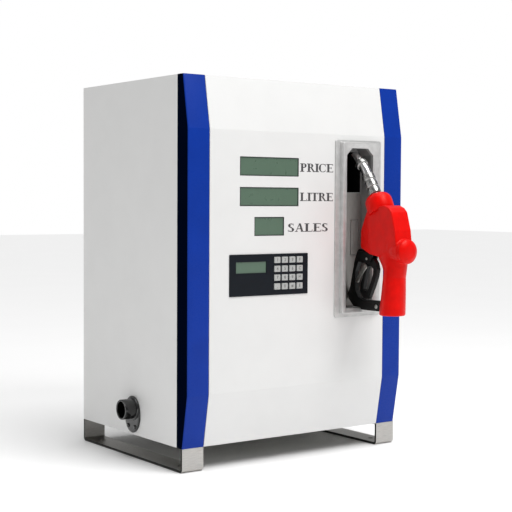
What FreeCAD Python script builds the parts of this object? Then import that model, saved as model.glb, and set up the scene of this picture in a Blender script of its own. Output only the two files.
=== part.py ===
import FreeCAD, Part
import math
import os
import re

import Sketcher
from FreeCAD import Placement, Rotation, Vector

# A free-standing fuel dispenser: a sheet-metal cabinet on two skids, with a pump, a motor and a
# flow meter inside, displays, a keypad and a nozzle boot on its front, and a hand nozzle.
# The origin is on the floor at the middle of the skids. +X is to the right of somebody who
# faces the front, +Y goes to the back and +Z up. Sizes are in millimetres.

DIMENSIONS = [
    ("cabinet_wide", 530, "across the side panels"),
    ("cabinet_tall", 700, "from the panels' lower edge to the top"),
    ("panel_deep", 371, "a side panel, front to back"),
    ("sheet_metal", 1.5, "thickness of the cabinet's sheet"),
    ("front_bulge", 17.5, "how far the front stands out between its two bends"),
    ("slope_tall", 101, "height of the sloping band at the top and at the bottom"),
    ("skid_tall", 46, "floor to the panels' lower edge"),
    ("pan_lift", 4, "base pan above the panels' lower edge"),
    ("skid_long", 390, "a skid, front to back"),
    ("skid_wide", 48, "a skid and a corner trim, across"),
    ("skid_bar", 5, "thickness of the skid's flat bar"),
    ("skid_bend", 7, "outer radius of the skid's bends"),
    ("flange_long", 42, "the skid's bolting flanges"),
    ("bolt_apart_x", 460, "skid bolts, left to right"),
    ("anchor_apart_x", 482, "floor anchor holes, left to right"),
    ("anchor_apart_y", 300, "floor anchor holes, front to back"),
    ("anchor_radius", 5.5, "floor anchor hole"),
    ("bolt_radius", 4, "skid bolts and door pivots"),
    ("window_wide", 137.7, "the two long display windows"),
    ("window_short", 68, "the lowest display window"),
    ("window_tall", 33.2, "a display window"),
    ("window_left", -146.4, "left edge of the long windows"),
    ("short_left", -112, "left edge of the short window"),
    ("price_low", 560.8, "lower edge of the price window"),
    ("litre_low", 502.8, "lower edge of the litre window"),
    ("sale_low", 445.7, "lower edge of the sale window"),
    ("rim_wide", 1.6, "rim round a display window"),
    ("keypad_left", -172, "left edge of the keypad bezel"),
    ("keypad_low", 329, "lower edge of the keypad bezel"),
    ("keypad_wide", 188, "keypad bezel"),
    ("keypad_tall", 80, "keypad bezel"),
    ("screen_left", -157, "keypad screen"),
    ("screen_low", 373, "keypad screen"),
    ("screen_wide", 71.5, "keypad screen"),
    ("screen_tall", 21.5, "keypad screen"),
    ("key_left", -66.9, "left edge of the first column of keys"),
    ("key_top", 402.9, "upper edge of the first row of keys"),
    ("key_wide", 14.5, "a key"),
    ("key_tall", 12, "a key"),
    ("key_pitch_x", 18.3, "between columns"),
    ("key_pitch_z", 17.2, "between rows"),
    ("key_proud", 2.9, "a key stands out from the front panel"),
    ("key_gap", 0.4, "round each key in the bezel"),
    ("boot_x", 144.85, "middle of the nozzle boot"),
    ("boot_low", 276.5, "lower edge of the boot's flange"),
    ("boot_wide", 120.7, "the boot's flange"),
    ("boot_tall", 358.5, "the boot's flange"),
    ("boot_thick", 2.5, "the boot's flange"),
    ("boot_proud", 12.3, "the boot's raised frame"),
    ("raised_wide", 97.2, "outside of the boot's raised frame"),
    ("raised_low", 283.7, "lower edge of the raised frame"),
    ("raised_top", 631, "upper edge of the raised frame"),
    ("mouth_wide", 69.2, "opening of the boot"),
    ("mouth_low", 294.5, "lower edge of the opening"),
    ("mouth_top", 618.5, "upper edge of the opening"),
    ("mouth_corner", 14, "bevel of the opening's upper corners"),
    ("boot_wall", 2, "wall of the boot's pocket and of the spout socket"),
    ("boot_back", -183, "Y of the boot's back wall"),
    ("socket_low", 530, "lower edge of the spout socket"),
    ("socket_deep", 58, "depth of the spout socket"),
    ("socket_half", 33, "half the width of the spout socket and the wear plate"),
    ("flap_x", 161.5, "middle of the hook flap"),
    ("flap_half", 9.5, "half the width of the flap's opening"),
    ("flap_axis_y", -177, "hook flap's hinge"),
    ("flap_axis_z", 466, "hook flap's hinge"),
    ("port_y", -17.3, "middle of the suction pipe"),
    ("port_z", 98.5, "middle of the suction pipe"),
    ("port_radius", 20, "suction pipe, outside"),
    ("port_neck", 18, "suction pipe inside the flange, outer radius"),
    ("port_bore", 16, "suction pipe, inner radius"),
    ("port_out", 30, "suction pipe beyond the side panel"),
    ("oval_y", -14.3, "middle of the oval flange"),
    ("oval_z", 86.6, "middle of the oval flange"),
    ("oval_tall", 36.6, "half the height of the oval flange"),
    ("oval_wide", 28.5, "half the width of the oval flange"),
    ("oval_thick", 4, "oval flange"),
    ("pump_x", -117, "pump shaft"),
    ("pump_half", 57, "half the width and the depth of the pump's case"),
    ("pump_low", 70, "underside of the pump's case"),
    ("pump_top", 190, "top of the pump's case"),
    ("meter_half", 44, "half the width and the depth of the flow meter"),
    ("meter_top", 285, "top of the flow meter"),
    ("meter_drum", 36, "radius of the flow meter's drum"),
    ("motor_radius", 62, "motor's case"),
    ("motor_front", -92, "front end of the motor"),
    ("motor_back", 68, "back end of the motor's case"),
    ("motor_bell", 50, "radius of the motor's end bell"),
    ("motor_x", 110, "motor shaft"),
    ("drive_z", 140, "pump and motor shafts"),
    ("belt_y", 102, "middle of the belt"),
    ("belt_wide", 10, "belt"),
    ("belt_thick", 7, "belt"),
    ("pump_pitch", 50, "pitch radius of the pump pulley"),
    ("motor_pitch", 30, "pitch radius of the motor pulley"),
    ("shaft_radius", 8, "pump and motor shafts"),
    ("running_gap", 0.05, "radial clearance of a shaft or pivot"),
    ("pipe_radius", 13.5, "outlet pipe"),
    ("outlet_z", 480, "outlet pipe's level run"),
    ("outlet_thread", 13.2, "hose outlet's thread, outer radius"),
    ("pipe_bore", 11, "outlet pipe, inner radius"),
    ("pipe_bend", 45, "radius of the outlet pipe's bend"),
    ("outlet_bore", 9.5, "hose outlet"),
    ("outlet_flats", 36, "across the flats of the hose outlet's hexagons"),
    ("control_left", -150, "control box"),
    ("control_right", 60, "control box"),
    ("control_front", -185, "control box"),
    ("control_back", -110, "control box"),
    ("control_low", 625, "control box"),
    ("gland_x", 200, "cable gland"),
    ("gland_y", 150, "cable gland"),
    ("gland_radius", 10, "cable gland's thread"),
    ("gland_bore", 4.5, "cable gland"),
    ("gland_flats", 24, "across the flats of the gland's hexagons"),
    ("bolt_flats", 13, "across the flats of the skid bolts"),
    ("pivot_x", 250, "door pivots"),
    ("pivot_y", 186, "door pivots"),
    ("lock_x", -240, "door lock"),
    ("lock_z", 400, "door lock"),
    ("lock_radius", 9, "door lock's barrel"),
    ("louvre_x", 110, "middle of each column of louvres"),
    ("louvre_half", 45, "half the length of a louvre"),
    ("louvre_pitch", 14, "between louvres"),
    ("nozzle_x", 146.5, "middle plane of the nozzle"),
    ("grip_y", -319, "axis of the handle's lower end"),
    ("grip_low", 286.5, "lower end of the handle"),
    ("grip_radius", 26, "lower end of the handle"),
    ("waist_y", -325, "axis of the handle's waist"),
    ("waist_z", 377, "the handle's waist"),
    ("waist_radius", 21.7, "the handle's waist"),
    ("valve_low", 404, "underside of the nozzle's valve body"),
    ("valve_wide", 44, "the nozzle's valve body"),
    ("cap_radius", 24, "round cap on the valve body"),
    ("cap_front", -368, "front of the round cap"),
    ("cap_back", -355.2, "back of the round cap"),
    ("cap_z", 414, "middle of the round cap"),
    ("spout_y", -266.3, "a point on the spout's axis, where it leaves the collar"),
    ("spout_z", 524.5, "the same point"),
    ("spout_radius", 10, "spout, outside"),
    ("spout_wall", 1.5, "spout"),
    ("spout_rise", 58, "degrees from level, lower stretch of the spout"),
    ("spout_tip_rise", 39.5, "degrees from level, upper stretch of the spout"),
    ("spout_bend", 50, "radius of the spout's bend"),
    ("spout_lower", 62, "spout from the collar to its bend"),
    ("spout_upper", 44, "spout from its bend to its tip"),
    ("spout_buried", 34, "spout inside the collar"),
    ("bead_radius", 12.9, "beads of the spout's spring sleeve"),
    ("bead_pitch", 16, "between beads"),
    ("collar_y", -268.5, "a point on the collar's axis, at its top"),
    ("collar_rise", 64, "degrees from level, the collar's axis"),
    ("collar_radius", 27.3, "collar at the foot of the spout"),
    ("guard_half", 5, "half the thickness of the lever guard"),
    ("cheek_out", 9, "outer face of the lever's cheeks, from the middle plane"),
    ("lever_half", 4.7, "half the thickness of the lever"),
    ("lever_y", -250, "lever's pivot"),
    ("lever_z", 396, "lever's pivot"),
    ("lever_pin", 3, "lever's pivot pin"),
    ("clip_y", -245, "hold-open clip's pivot"),
    ("clip_z", 381, "hold-open clip's pivot"),
    ("clip_pin", 2, "hold-open clip's pivot pin"),
    ("rivet_y", -276, "guard's rivet"),
    ("rivet_z", 301, "guard's rivet"),
    ("swivel_radius", 18, "hose swivel"),
    ("swivel_bore", 12, "thread of the hose swivel"),
]

doc = FreeCAD.newDocument("fuel_dispenser")
sheet = doc.addObject("Spreadsheet::Sheet", "Dimensions")
for row, (alias, number, note) in enumerate(DIMENSIONS, start=1):
    sheet.set(f"A{row}", alias)
    sheet.set(f"B{row}", str(number))
    sheet.set(f"C{row}", note)
    sheet.setAlias(f"B{row}", alias)
doc.recompute()

pieces = []

# Places that many pieces share, as expressions in the sheet's words.
LEFT = "(-cabinet_wide / 2)"
RIGHT = "(cabinet_wide / 2)"
BACK = "(skid_long / 2)"
SIDE_FRONT = "(skid_long / 2 - panel_deep)"
FRONT_EDGE = "(-skid_long / 2)"
FRONT = "(-skid_long / 2 - front_bulge)"
BASE = "skid_tall"
TOP = "(skid_tall + cabinet_tall)"
TRIM_INSIDE = "(cabinet_wide / 2 - skid_wide)"
PAN = "(skid_tall + pan_lift)"
FLOOR = "(skid_tall + pan_lift + sheet_metal)"


def size(text):
    """The number that an expression in the sheet's words gives."""
    return float(sheet.evalExpression(str(text)))


def bind(thing, name, text):
    """Drive one property of an object from the sheet."""
    thing.setExpression(name, re.sub(r"[a-z_]{3,}", r"Dimensions.\g<0>", str(text)))


def piece(label, thing):
    """Name a finished sub-part."""
    thing.Label = label
    pieces.append(thing)
    return thing


def block(name, x, y, z):
    """A box between two places on each axis."""
    box = doc.addObject("Part::Box", name)
    for side, axis, (low, high) in zip(("Length", "Width", "Height"), "xyz", (x, y, z)):
        bind(box, side, f"({high}) - ({low})")
        bind(box, "Placement.Base." + axis, low)
    return box


TURNS = {
    "x": Rotation(Vector(0, 0, 1), Vector(1, 0, 0)),
    "y": Rotation(Vector(0, 0, 1), Vector(0, 1, 0)),
    "z": Rotation(),
}


def rod(name, axis, radius, low, high, x="0", y="0", z="0"):
    """A cylinder along one axis, from low to high on it."""
    cylinder = doc.addObject("Part::Cylinder", name)
    cylinder.Placement.Rotation = TURNS[axis]
    bind(cylinder, "Radius", radius)
    bind(cylinder, "Height", f"({high}) - ({low})")
    start = {"x": x, "y": y, "z": z, axis: low}
    for letter in "xyz":
        bind(cylinder, "Placement.Base." + letter, start[letter])
    return cylinder


def join(name, *parts):
    fused = doc.addObject("Part::MultiFuse", name)
    fused.Shapes = list(parts)
    fused.Refine = False
    return fused


def cut(name, base, *tools):
    """Take one or more tools away from a base."""
    result = doc.addObject("Part::Cut", name)
    result.Base = base
    result.Tool = tools[0] if len(tools) == 1 else join(name + "_tools", *tools)
    return result


def group(name, *parts):
    """Separate solids that share one node."""
    compound = doc.addObject("Part::Compound", name)
    compound.Links = list(parts)
    return compound


PLANES = {"x": "YZ_Plane", "y": "XZ_Plane", "z": "XY_Plane"}


def prism(name, axis, points, low, high):
    """An outline padded along one axis. Its points are (first, second) on the other two axes."""
    body = doc.addObject("PartDesign::Body", name)
    plane = next(item for item in body.Origin.OriginFeatures if item.Role == PLANES[axis])
    sketch = body.newObject("Sketcher::SketchObject", name + "_sketch")
    sketch.AttachmentSupport = [(plane, "")]
    sketch.MapMode = "FlatFace"
    corners = [Vector(size(across), size(along), 0) for across, along in points]
    count = len(corners)
    for index, corner in enumerate(corners):
        sketch.addGeometry(Part.LineSegment(corner, corners[(index + 1) % count]), False)
    for index in range(count):
        sketch.addConstraint(Sketcher.Constraint("Coincident", index, 2, (index + 1) % count, 1))
    for index, corner in enumerate(corners):
        for kind, number, text in zip(("DistanceX", "DistanceY"), corner, points[index]):
            place = sketch.addConstraint(Sketcher.Constraint(kind, -1, 1, index, 1, number))
            bind(sketch, f"Constraints[{place}]", text)
    pad = body.newObject("PartDesign::Pad", name + "_pad")
    pad.Profile = sketch
    bind(pad, "Length", f"({high}) - ({low})")
    # The XZ plane's normal points to -Y, so there the pad starts at its high end.
    bind(body, "Placement.Base." + axis, high if axis == "y" else low)
    doc.recompute()
    return body


def rounded(name, base, radius, chosen):
    """Fillet the edges of base that the test picks."""
    doc.recompute()
    fillet = doc.addObject("Part::Fillet", name)
    fillet.Base = base
    picked = [number for number, edge in enumerate(base.Shape.Edges, start=1) if chosen(edge)]
    fillet.Edges = [(number, size(radius), size(radius)) for number in picked]
    return fillet


def shaped(name, shape):
    """A sub-part whose shape is worked out with Part's own functions."""
    feature = doc.addObject("Part::Feature", name)
    feature.Shape = shape
    return feature


def along(edge, axis):
    """True for a straight edge that runs along an axis."""
    start, end = edge.Vertexes[0].Point, edge.Vertexes[-1].Point
    step = end - start
    return edge.Curve.TypeId == "Part::GeomLine" and abs(getattr(step, axis)) > step.Length - 0.01


def swept(points, radii, radius, bore):
    """A tube along straight runs with an arc at each inner point."""
    edges = []
    start = points[0]
    for before, corner, after, bend in zip(points, points[1:], points[2:], radii):
        into = (corner - before).normalize()
        out = (after - corner).normalize()
        half_turn = into.getAngle(out) / 2
        reach = bend * math.tan(half_turn)
        first = corner - into * reach
        last = corner + out * reach
        inward = (out - into).normalize()
        middle = corner + inward * (bend / math.cos(half_turn) - bend)
        edges.append(Part.LineSegment(start, first).toShape())
        edges.append(Part.Arc(first, middle, last).toShape())
        start = last
    edges.append(Part.LineSegment(start, points[-1]).toShape())
    path = Part.Wire(edges)
    facing = (points[1] - points[0]).normalize()

    def solid(size_now):
        section = Part.Wire(Part.makeCircle(size_now, points[0], facing))
        return path.makePipeShell([section], True, True)

    return solid(radius).cut(solid(bore))


# ---------------------------------------------------------------- cabinet

def front_profile(shift):
    """The front's side view, from the bottom up, moved back by the shift."""
    return [
        (f"{FRONT_EDGE} + {shift}", BASE),
        (f"{FRONT} + {shift}", f"{BASE} + slope_tall"),
        (f"{FRONT} + {shift}", f"{TOP} - slope_tall"),
        (f"{FRONT_EDGE} + {shift}", TOP),
    ]


def make_base_pan():
    inside = "(cabinet_wide / 2 - sheet_metal)"
    front = f"({FRONT_EDGE} + 3)"
    lip = f"({PAN} + 20)"
    tray = join(
        "pan_sheet",
        block("pan_floor", (f"-{inside}", inside), (front, f"{BACK} - sheet_metal"), (PAN, FLOOR)),
        block("pan_front", (f"-{inside}", inside), (front, f"{front} + sheet_metal"), (PAN, lip)),
        block("pan_left", (f"-{inside}", f"-{inside} + sheet_metal"), (front, "pivot_y - 8"), (PAN, lip)),
        block("pan_right", (f"{inside} - sheet_metal", inside), (front, "pivot_y - 8"), (PAN, lip)),
    )
    holes = [rod(f"pan_hole_{number}", "z", "bolt_radius", f"{PAN} - 1", f"{FLOOR} + 1", x, y)
             for number, (x, y) in enumerate(bolt_places())]
    gland = rod("pan_gland_hole", "z", "gland_radius", f"{PAN} - 1", f"{FLOOR} + 1", "gland_x", "gland_y")
    piece("base_pan", cut("pan", tray, gland, *holes))


def bolt_places():
    """Where the skids are bolted to the base pan."""
    return [(f"{x} * (bolt_apart_x / 2)", f"{y} * ({BACK} - flange_long / 2)")
            for x in (-1, 1) for y in (-1, 1)]


def make_side_panels():
    outside = (SIDE_FRONT, BACK)
    height = (BASE, TOP)
    left = join(
        "left_sheet",
        block("left_plate", (LEFT, f"{LEFT} + sheet_metal"), outside, height),
        block("lock_strike", (f"{LEFT} + sheet_metal", f"{LEFT} + 15"), ("pivot_y + 2", "pivot_y + 4"),
              ("lock_z - 15", "lock_z + 15")),
    )
    inlet = rod("left_hole", "x", "port_neck", f"{LEFT} - 1", f"{LEFT} + 3", "0", "port_y", "port_z")
    piece("left_side_panel", cut("left_panel", left, inlet))
    right = block("right_plate", (f"{RIGHT} - sheet_metal", RIGHT), outside, height)
    around = {"y": "port_y", "z": "outlet_z"}
    outlet = rod("right_hole", "x", "outlet_thread", f"{RIGHT} - 3", f"{RIGHT} + 1", **around)
    piece("right_side_panel", cut("right_panel", right, outlet))
    piece("top_panel", block(
        "top_plate", (f"{LEFT} + sheet_metal", f"{RIGHT} - sheet_metal"),
        (f"{FRONT_EDGE} + sheet_metal", BACK), (f"{TOP} - sheet_metal", TOP)))


def make_corner_trims():
    for side in ("left", "right"):
        sign = "-" if side == "left" else ""
        outer, inner = f"({sign}cabinet_wide / 2)", f"({sign}{TRIM_INSIDE})"
        low, high = (outer, inner) if side == "left" else (inner, outer)
        outline = front_profile("0") + [(SIDE_FRONT, TOP), (SIDE_FRONT, BASE)]
        hollow = front_profile("sheet_metal") + [(f"{SIDE_FRONT} + 1", TOP), (f"{SIDE_FRONT} + 1", BASE)]
        if side == "left":
            room = (f"{low} + sheet_metal", f"{high} + 1")
        else:
            room = (f"{low} - 1", f"{high} - sheet_metal")
        full = prism(f"{side}_trim_outline", "x", outline, low, high)
        inside = prism(f"{side}_trim_hollow", "x", hollow, *room)
        piece(f"{side}_corner_trim", cut(f"{side}_trim", full, inside))


def window_places():
    """(name, left, low, wide, tall) of the three display windows."""
    return [
        ("price", "window_left", "price_low", "window_wide", "window_tall"),
        ("litre", "window_left", "litre_low", "window_wide", "window_tall"),
        ("sale", "short_left", "sale_low", "window_short", "window_tall"),
    ]


def frame_block(name, place, grow, y):
    """A box in front view round a display window, larger by grow on each side."""
    _, left, low, wide, tall = place
    return block(name, (f"{left} - {grow}", f"{left} + {wide} + {grow}"), y,
                 (f"{low} - {grow}", f"{low} + {tall} + {grow}"))


def make_front_panel():
    outline = front_profile("0") + list(reversed(front_profile("sheet_metal")))
    skin = prism("front_outline", "x", outline, f"-{TRIM_INSIDE}", TRIM_INSIDE)
    through = (f"{FRONT} - 5", f"{FRONT} + 5")
    holes = [frame_block(f"{place[0]}_cutout", place, "rim_wide", through) for place in window_places()]
    holes.append(block("keypad_cutout", ("keypad_left + 3", "keypad_left + keypad_wide - 3"), through,
                       ("keypad_low + 3", "keypad_low + keypad_tall - 3")))
    half = "(mouth_wide / 2 + boot_wall)"
    holes.append(block("boot_cutout", (f"boot_x - {half}", f"boot_x + {half}"), through,
                       ("mouth_low - boot_wall", "mouth_top + boot_wall")))
    piece("front_panel", cut("front_sheet", skin, *holes))


def make_skids():
    for side, sign in (("left", "-"), ("right", "")):
        ends = [f"({sign}{TRIM_INSIDE})", f"({sign}cabinet_wide / 2)"]
        across = tuple(reversed(ends)) if side == "left" else tuple(ends)
        outside = block(f"{side}_skid_outside", across, (FRONT_EDGE, BACK), ("0", BASE))
        loop = rounded(f"{side}_skid_bar", outside, "skid_bend", lambda edge: along(edge, "x") and edge.BoundBox.ZMax < 1)
        inside = block(f"{side}_skid_inside", (f"{across[0]} - 1", f"{across[1]} + 1"),
                       (f"{FRONT_EDGE} + skid_bar", f"{BACK} - skid_bar"), ("skid_bar", f"{BASE} + 1"))
        room = rounded(f"{side}_skid_room", inside, "skid_bend - skid_bar",
                       lambda edge: along(edge, "x") and edge.BoundBox.ZMax < 9)
        bar = cut(f"{side}_skid_loop", loop, room)
        if side == "left":
            narrow = (f"{across[0]} + 3", across[1])
        else:
            narrow = (across[0], f"{across[1]} - 3")
        front = block(f"{side}_front_flange", narrow, (f"{FRONT_EDGE} + 2", f"{FRONT_EDGE} + flange_long"),
                      (BASE, PAN))
        rear = block(f"{side}_rear_flange", narrow, (f"{BACK} - flange_long", f"{BACK} - 1"), (BASE, PAN))
        places = [place for place in bolt_places() if place[0].startswith("-") == (side == "left")]
        holes = [rod(f"{side}_skid_hole_{number}", "z", "bolt_radius", f"{BASE} - 1", f"{PAN} + 1", *place)
                 for number, place in enumerate(places)]
        anchor_x = f"{sign}anchor_apart_x / 2"
        for number, way in enumerate((-1, 1)):
            holes.append(rod(f"{side}_anchor_{number}", "z", "anchor_radius", "-1", "skid_bar + 1", anchor_x,
                             f"{way} * anchor_apart_y / 2"))
        bent = join(f"{side}_skid_bent", bar, front, rear)
        piece(f"{side}_skid", cut(f"{side}_skid_drilled", bent, *holes))


def hexagon(name, axis, apart, low, high, first, second):
    """A hexagonal prism, so much across its flats."""
    radius = size(apart) / math.sqrt(3)
    points = []
    for corner in range(6):
        turn = math.radians(60 * corner)
        points.append((f"({first}) + {radius * math.cos(turn):.3f}",
                       f"({second}) + {radius * math.sin(turn):.3f}"))
    return prism(name, axis, points, low, high)


def make_skid_bolts():
    bolts = []
    for number, (x, y) in enumerate(bolt_places()):
        shank = rod(f"bolt_shank_{number}", "z", "bolt_radius", BASE, f"{FLOOR} + 9", x, y)
        head = hexagon(f"bolt_head_{number}", "z", "bolt_flats", f"{BASE} - 5.3", BASE, x, y)
        nut = hexagon(f"bolt_nut_{number}", "z", "bolt_flats", FLOOR, f"{FLOOR} + 6.5", x, y)
        bolts.append(join(f"bolt_{number}", shank, head, nut))
    piece("skid_bolts", group("bolts", *bolts))


def make_rear_door():
    low, high = f"({FLOOR} + 1.5)", f"({TOP} - sheet_metal - 1.5)"
    through = (f"{BACK} - 4", f"{BACK} + 2")
    plate = block("door_plate", (f"{LEFT} + sheet_metal + 1", "pivot_x + 8"), (f"{BACK} - sheet_metal", BACK),
                  (low, high))
    lug_x = ("pivot_x - 12", "pivot_x + 8")
    lug_y = ("pivot_y - 7", f"{BACK} - sheet_metal")
    bottom = block("door_lug_low", lug_x, lug_y, (low, f"{low} + 4"))
    top = block("door_lug_top", lug_x, lug_y, (f"{high} - 4", high))
    holes = [rod("lock_hole", "y", "lock_radius + running_gap", *through, "lock_x", "0", "lock_z")]
    for end, at in (("low", low), ("top", high)):
        holes.append(rod(f"door_bore_{end}", "z", "bolt_radius + running_gap", f"{at} - 6", f"{at} + 6",
                         "pivot_x", "pivot_y"))
    for column in (-1, 1):
        middle = f"{column} * louvre_x"
        for line in range(6):
            level = f"{TOP} - 80 - {line} * louvre_pitch"
            wide = (f"{middle} - louvre_half", f"{middle} + louvre_half")
            holes.append(block(f"louvre_{column + 1}_{line}", wide, through, (level, f"{level} + 4")))
    piece("rear_door", cut("door", join("door_sheet", plate, bottom, top), *holes))
    ceiling = f"({TOP} - sheet_metal)"
    low_pin = rod("pivot_pin_low", "z", "bolt_radius", FLOOR, f"{FLOOR} + 8", "pivot_x", "pivot_y")
    low_collar = rod("pivot_collar_low", "z", "6.5", FLOOR, f"{FLOOR} + 1.2", "pivot_x", "pivot_y")
    top_pin = rod("pivot_pin_top", "z", "bolt_radius", f"{ceiling} - 8", ceiling, "pivot_x", "pivot_y")
    top_collar = rod("pivot_collar_top", "z", "6.5", f"{ceiling} - 1.2", ceiling, "pivot_x", "pivot_y")
    pins = [join("pivot_low", low_pin, low_collar), join("pivot_top", top_pin, top_collar)]
    piece("door_pivots", group("pivots", *pins))


def make_door_lock():
    """A quarter-turn cam lock. Its cam points up, unlocked, and turns out behind the strike."""
    at = {"x": "lock_x", "z": "lock_z"}
    head = rod("lock_head", "y", "12", f"{BACK} + 0.3", f"{BACK} + 2.5", **at)
    barrel = rod("lock_barrel", "y", "lock_radius", f"{BACK} - 13", f"{BACK} + 0.3", **at)
    cam = block("lock_cam", ("lock_x - 7", "lock_x + 7"), (f"{BACK} - 12", f"{BACK} - 9.5"),
                ("lock_z - 8", "lock_z + 20"))
    slot = block("lock_slot", ("lock_x - 1", "lock_x + 1"), (f"{BACK} + 1", f"{BACK} + 4"),
                 ("lock_z - 5", "lock_z + 5"))
    piece("door_lock", cut("lock", join("lock_turned", head, barrel, cam), slot))


# ---------------------------------------------------------------- displays and keypad

def make_displays():
    rims, windows = [], []
    for place in window_places():
        ring = frame_block(f"{place[0]}_ring", place, "rim_wide", (f"{FRONT} - 0.5", f"{FRONT} + 3"))
        hole = frame_block(f"{place[0]}_hole", place, "0", (f"{FRONT} - 2", f"{FRONT} + 5"))
        rims.append(cut(f"{place[0]}_rim", ring, hole))
        windows.append(frame_block(f"{place[0]}_window", place, "0", (f"{FRONT} + 0.8", f"{FRONT} + 2.8")))
    windows.append(block("keypad_screen", ("screen_left", "screen_left + screen_wide"), (FRONT, f"{FRONT} + 2"),
                         ("screen_low", "screen_low + screen_tall")))
    piece("display_rims", group("rims", *rims))
    piece("display_windows", group("windows", *windows))
    right = "window_left + window_wide"
    top = "price_low + window_tall"
    board = block("board_plate", ("window_left - 12", f"{right} + 12"), (f"{FRONT} + 8", f"{FRONT} + 9.6"),
                  ("sale_low - 8", f"{top} + 8"))
    posts = [rod(f"board_post_{column}_{line}", "y", "3", f"{FRONT} + sheet_metal", f"{FRONT} + 8", x, "0", z)
             for column, x in enumerate(("window_left - 7", f"{right} + 7"))
             for line, z in enumerate(("sale_low", top))]
    piece("display_board", join("board", board, *posts))


def key_place(column, line):
    """Left and lower edge of one key."""
    return f"(key_left + {column} * key_pitch_x)", f"(key_top - key_tall - {line} * key_pitch_z)"


def make_keypad():
    left, right = "keypad_left", "keypad_left + keypad_wide"
    low, top = "keypad_low", "keypad_low + keypad_tall"
    face = block("bezel_face", (left, right), (f"{FRONT} - 1.5", FRONT), (low, top))
    neck = block("bezel_neck", (f"{left} + 3", f"{right} - 3"), (FRONT, f"{FRONT} + 3.5"),
                 (f"{low} + 3", f"{top} - 3"))
    through = (f"{FRONT} - 4", f"{FRONT} + 5")
    holes = [block("screen_hole", ("screen_left", "screen_left + screen_wide"), through,
                   ("screen_low", "screen_low + screen_tall"))]
    for line in range(4):
        for column in range(4):
            x, z = key_place(column, line)
            number = 4 * line + column + 1
            holes.append(block(f"key_hole_{number}", (f"{x} - key_gap", f"{x} + key_wide + key_gap"), through,
                               (f"{z} - key_gap", f"{z} + key_tall + key_gap")))
            cap = block(f"key_cap_{number}", (x, f"{x} + key_wide"), (f"{FRONT} - key_proud", f"{FRONT} + 3.8"),
                        (z, f"{z} + key_tall"))
            foot = block(f"key_foot_{number}", (f"{x} - 1", f"{x} + key_wide + 1"),
                         (f"{FRONT} + 3.8", f"{FRONT} + 5.8"), (f"{z} - 1", f"{z} + key_tall + 1"))
            piece(f"key_{number:02d}", join(f"key_{number}", cap, foot))
    piece("keypad_bezel", cut("bezel", join("bezel_plate", face, neck), *holes))
    board = block("keypad_plate", (f"{left} + 4", f"{right} - 4"), (f"{FRONT} + 7.6", f"{FRONT} + 9.2"),
                  (f"{low} + 4", f"{top} - 4"))
    piece("keypad_board", board)


# ---------------------------------------------------------------- nozzle boot

def mouth_outline(grow):
    """The boot's opening in front view, larger by grow on each side."""
    half = f"(mouth_wide / 2 + {grow})"
    return [
        (f"boot_x - {half}", f"mouth_low - {grow}"),
        (f"boot_x + {half}", f"mouth_low - {grow}"),
        (f"boot_x + {half}", f"mouth_top + {grow} - mouth_corner"),
        (f"boot_x + {half} - mouth_corner", f"mouth_top + {grow}"),
        (f"boot_x - {half} + mouth_corner", f"mouth_top + {grow}"),
        (f"boot_x - {half}", f"mouth_top + {grow} - mouth_corner"),
    ]


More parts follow.
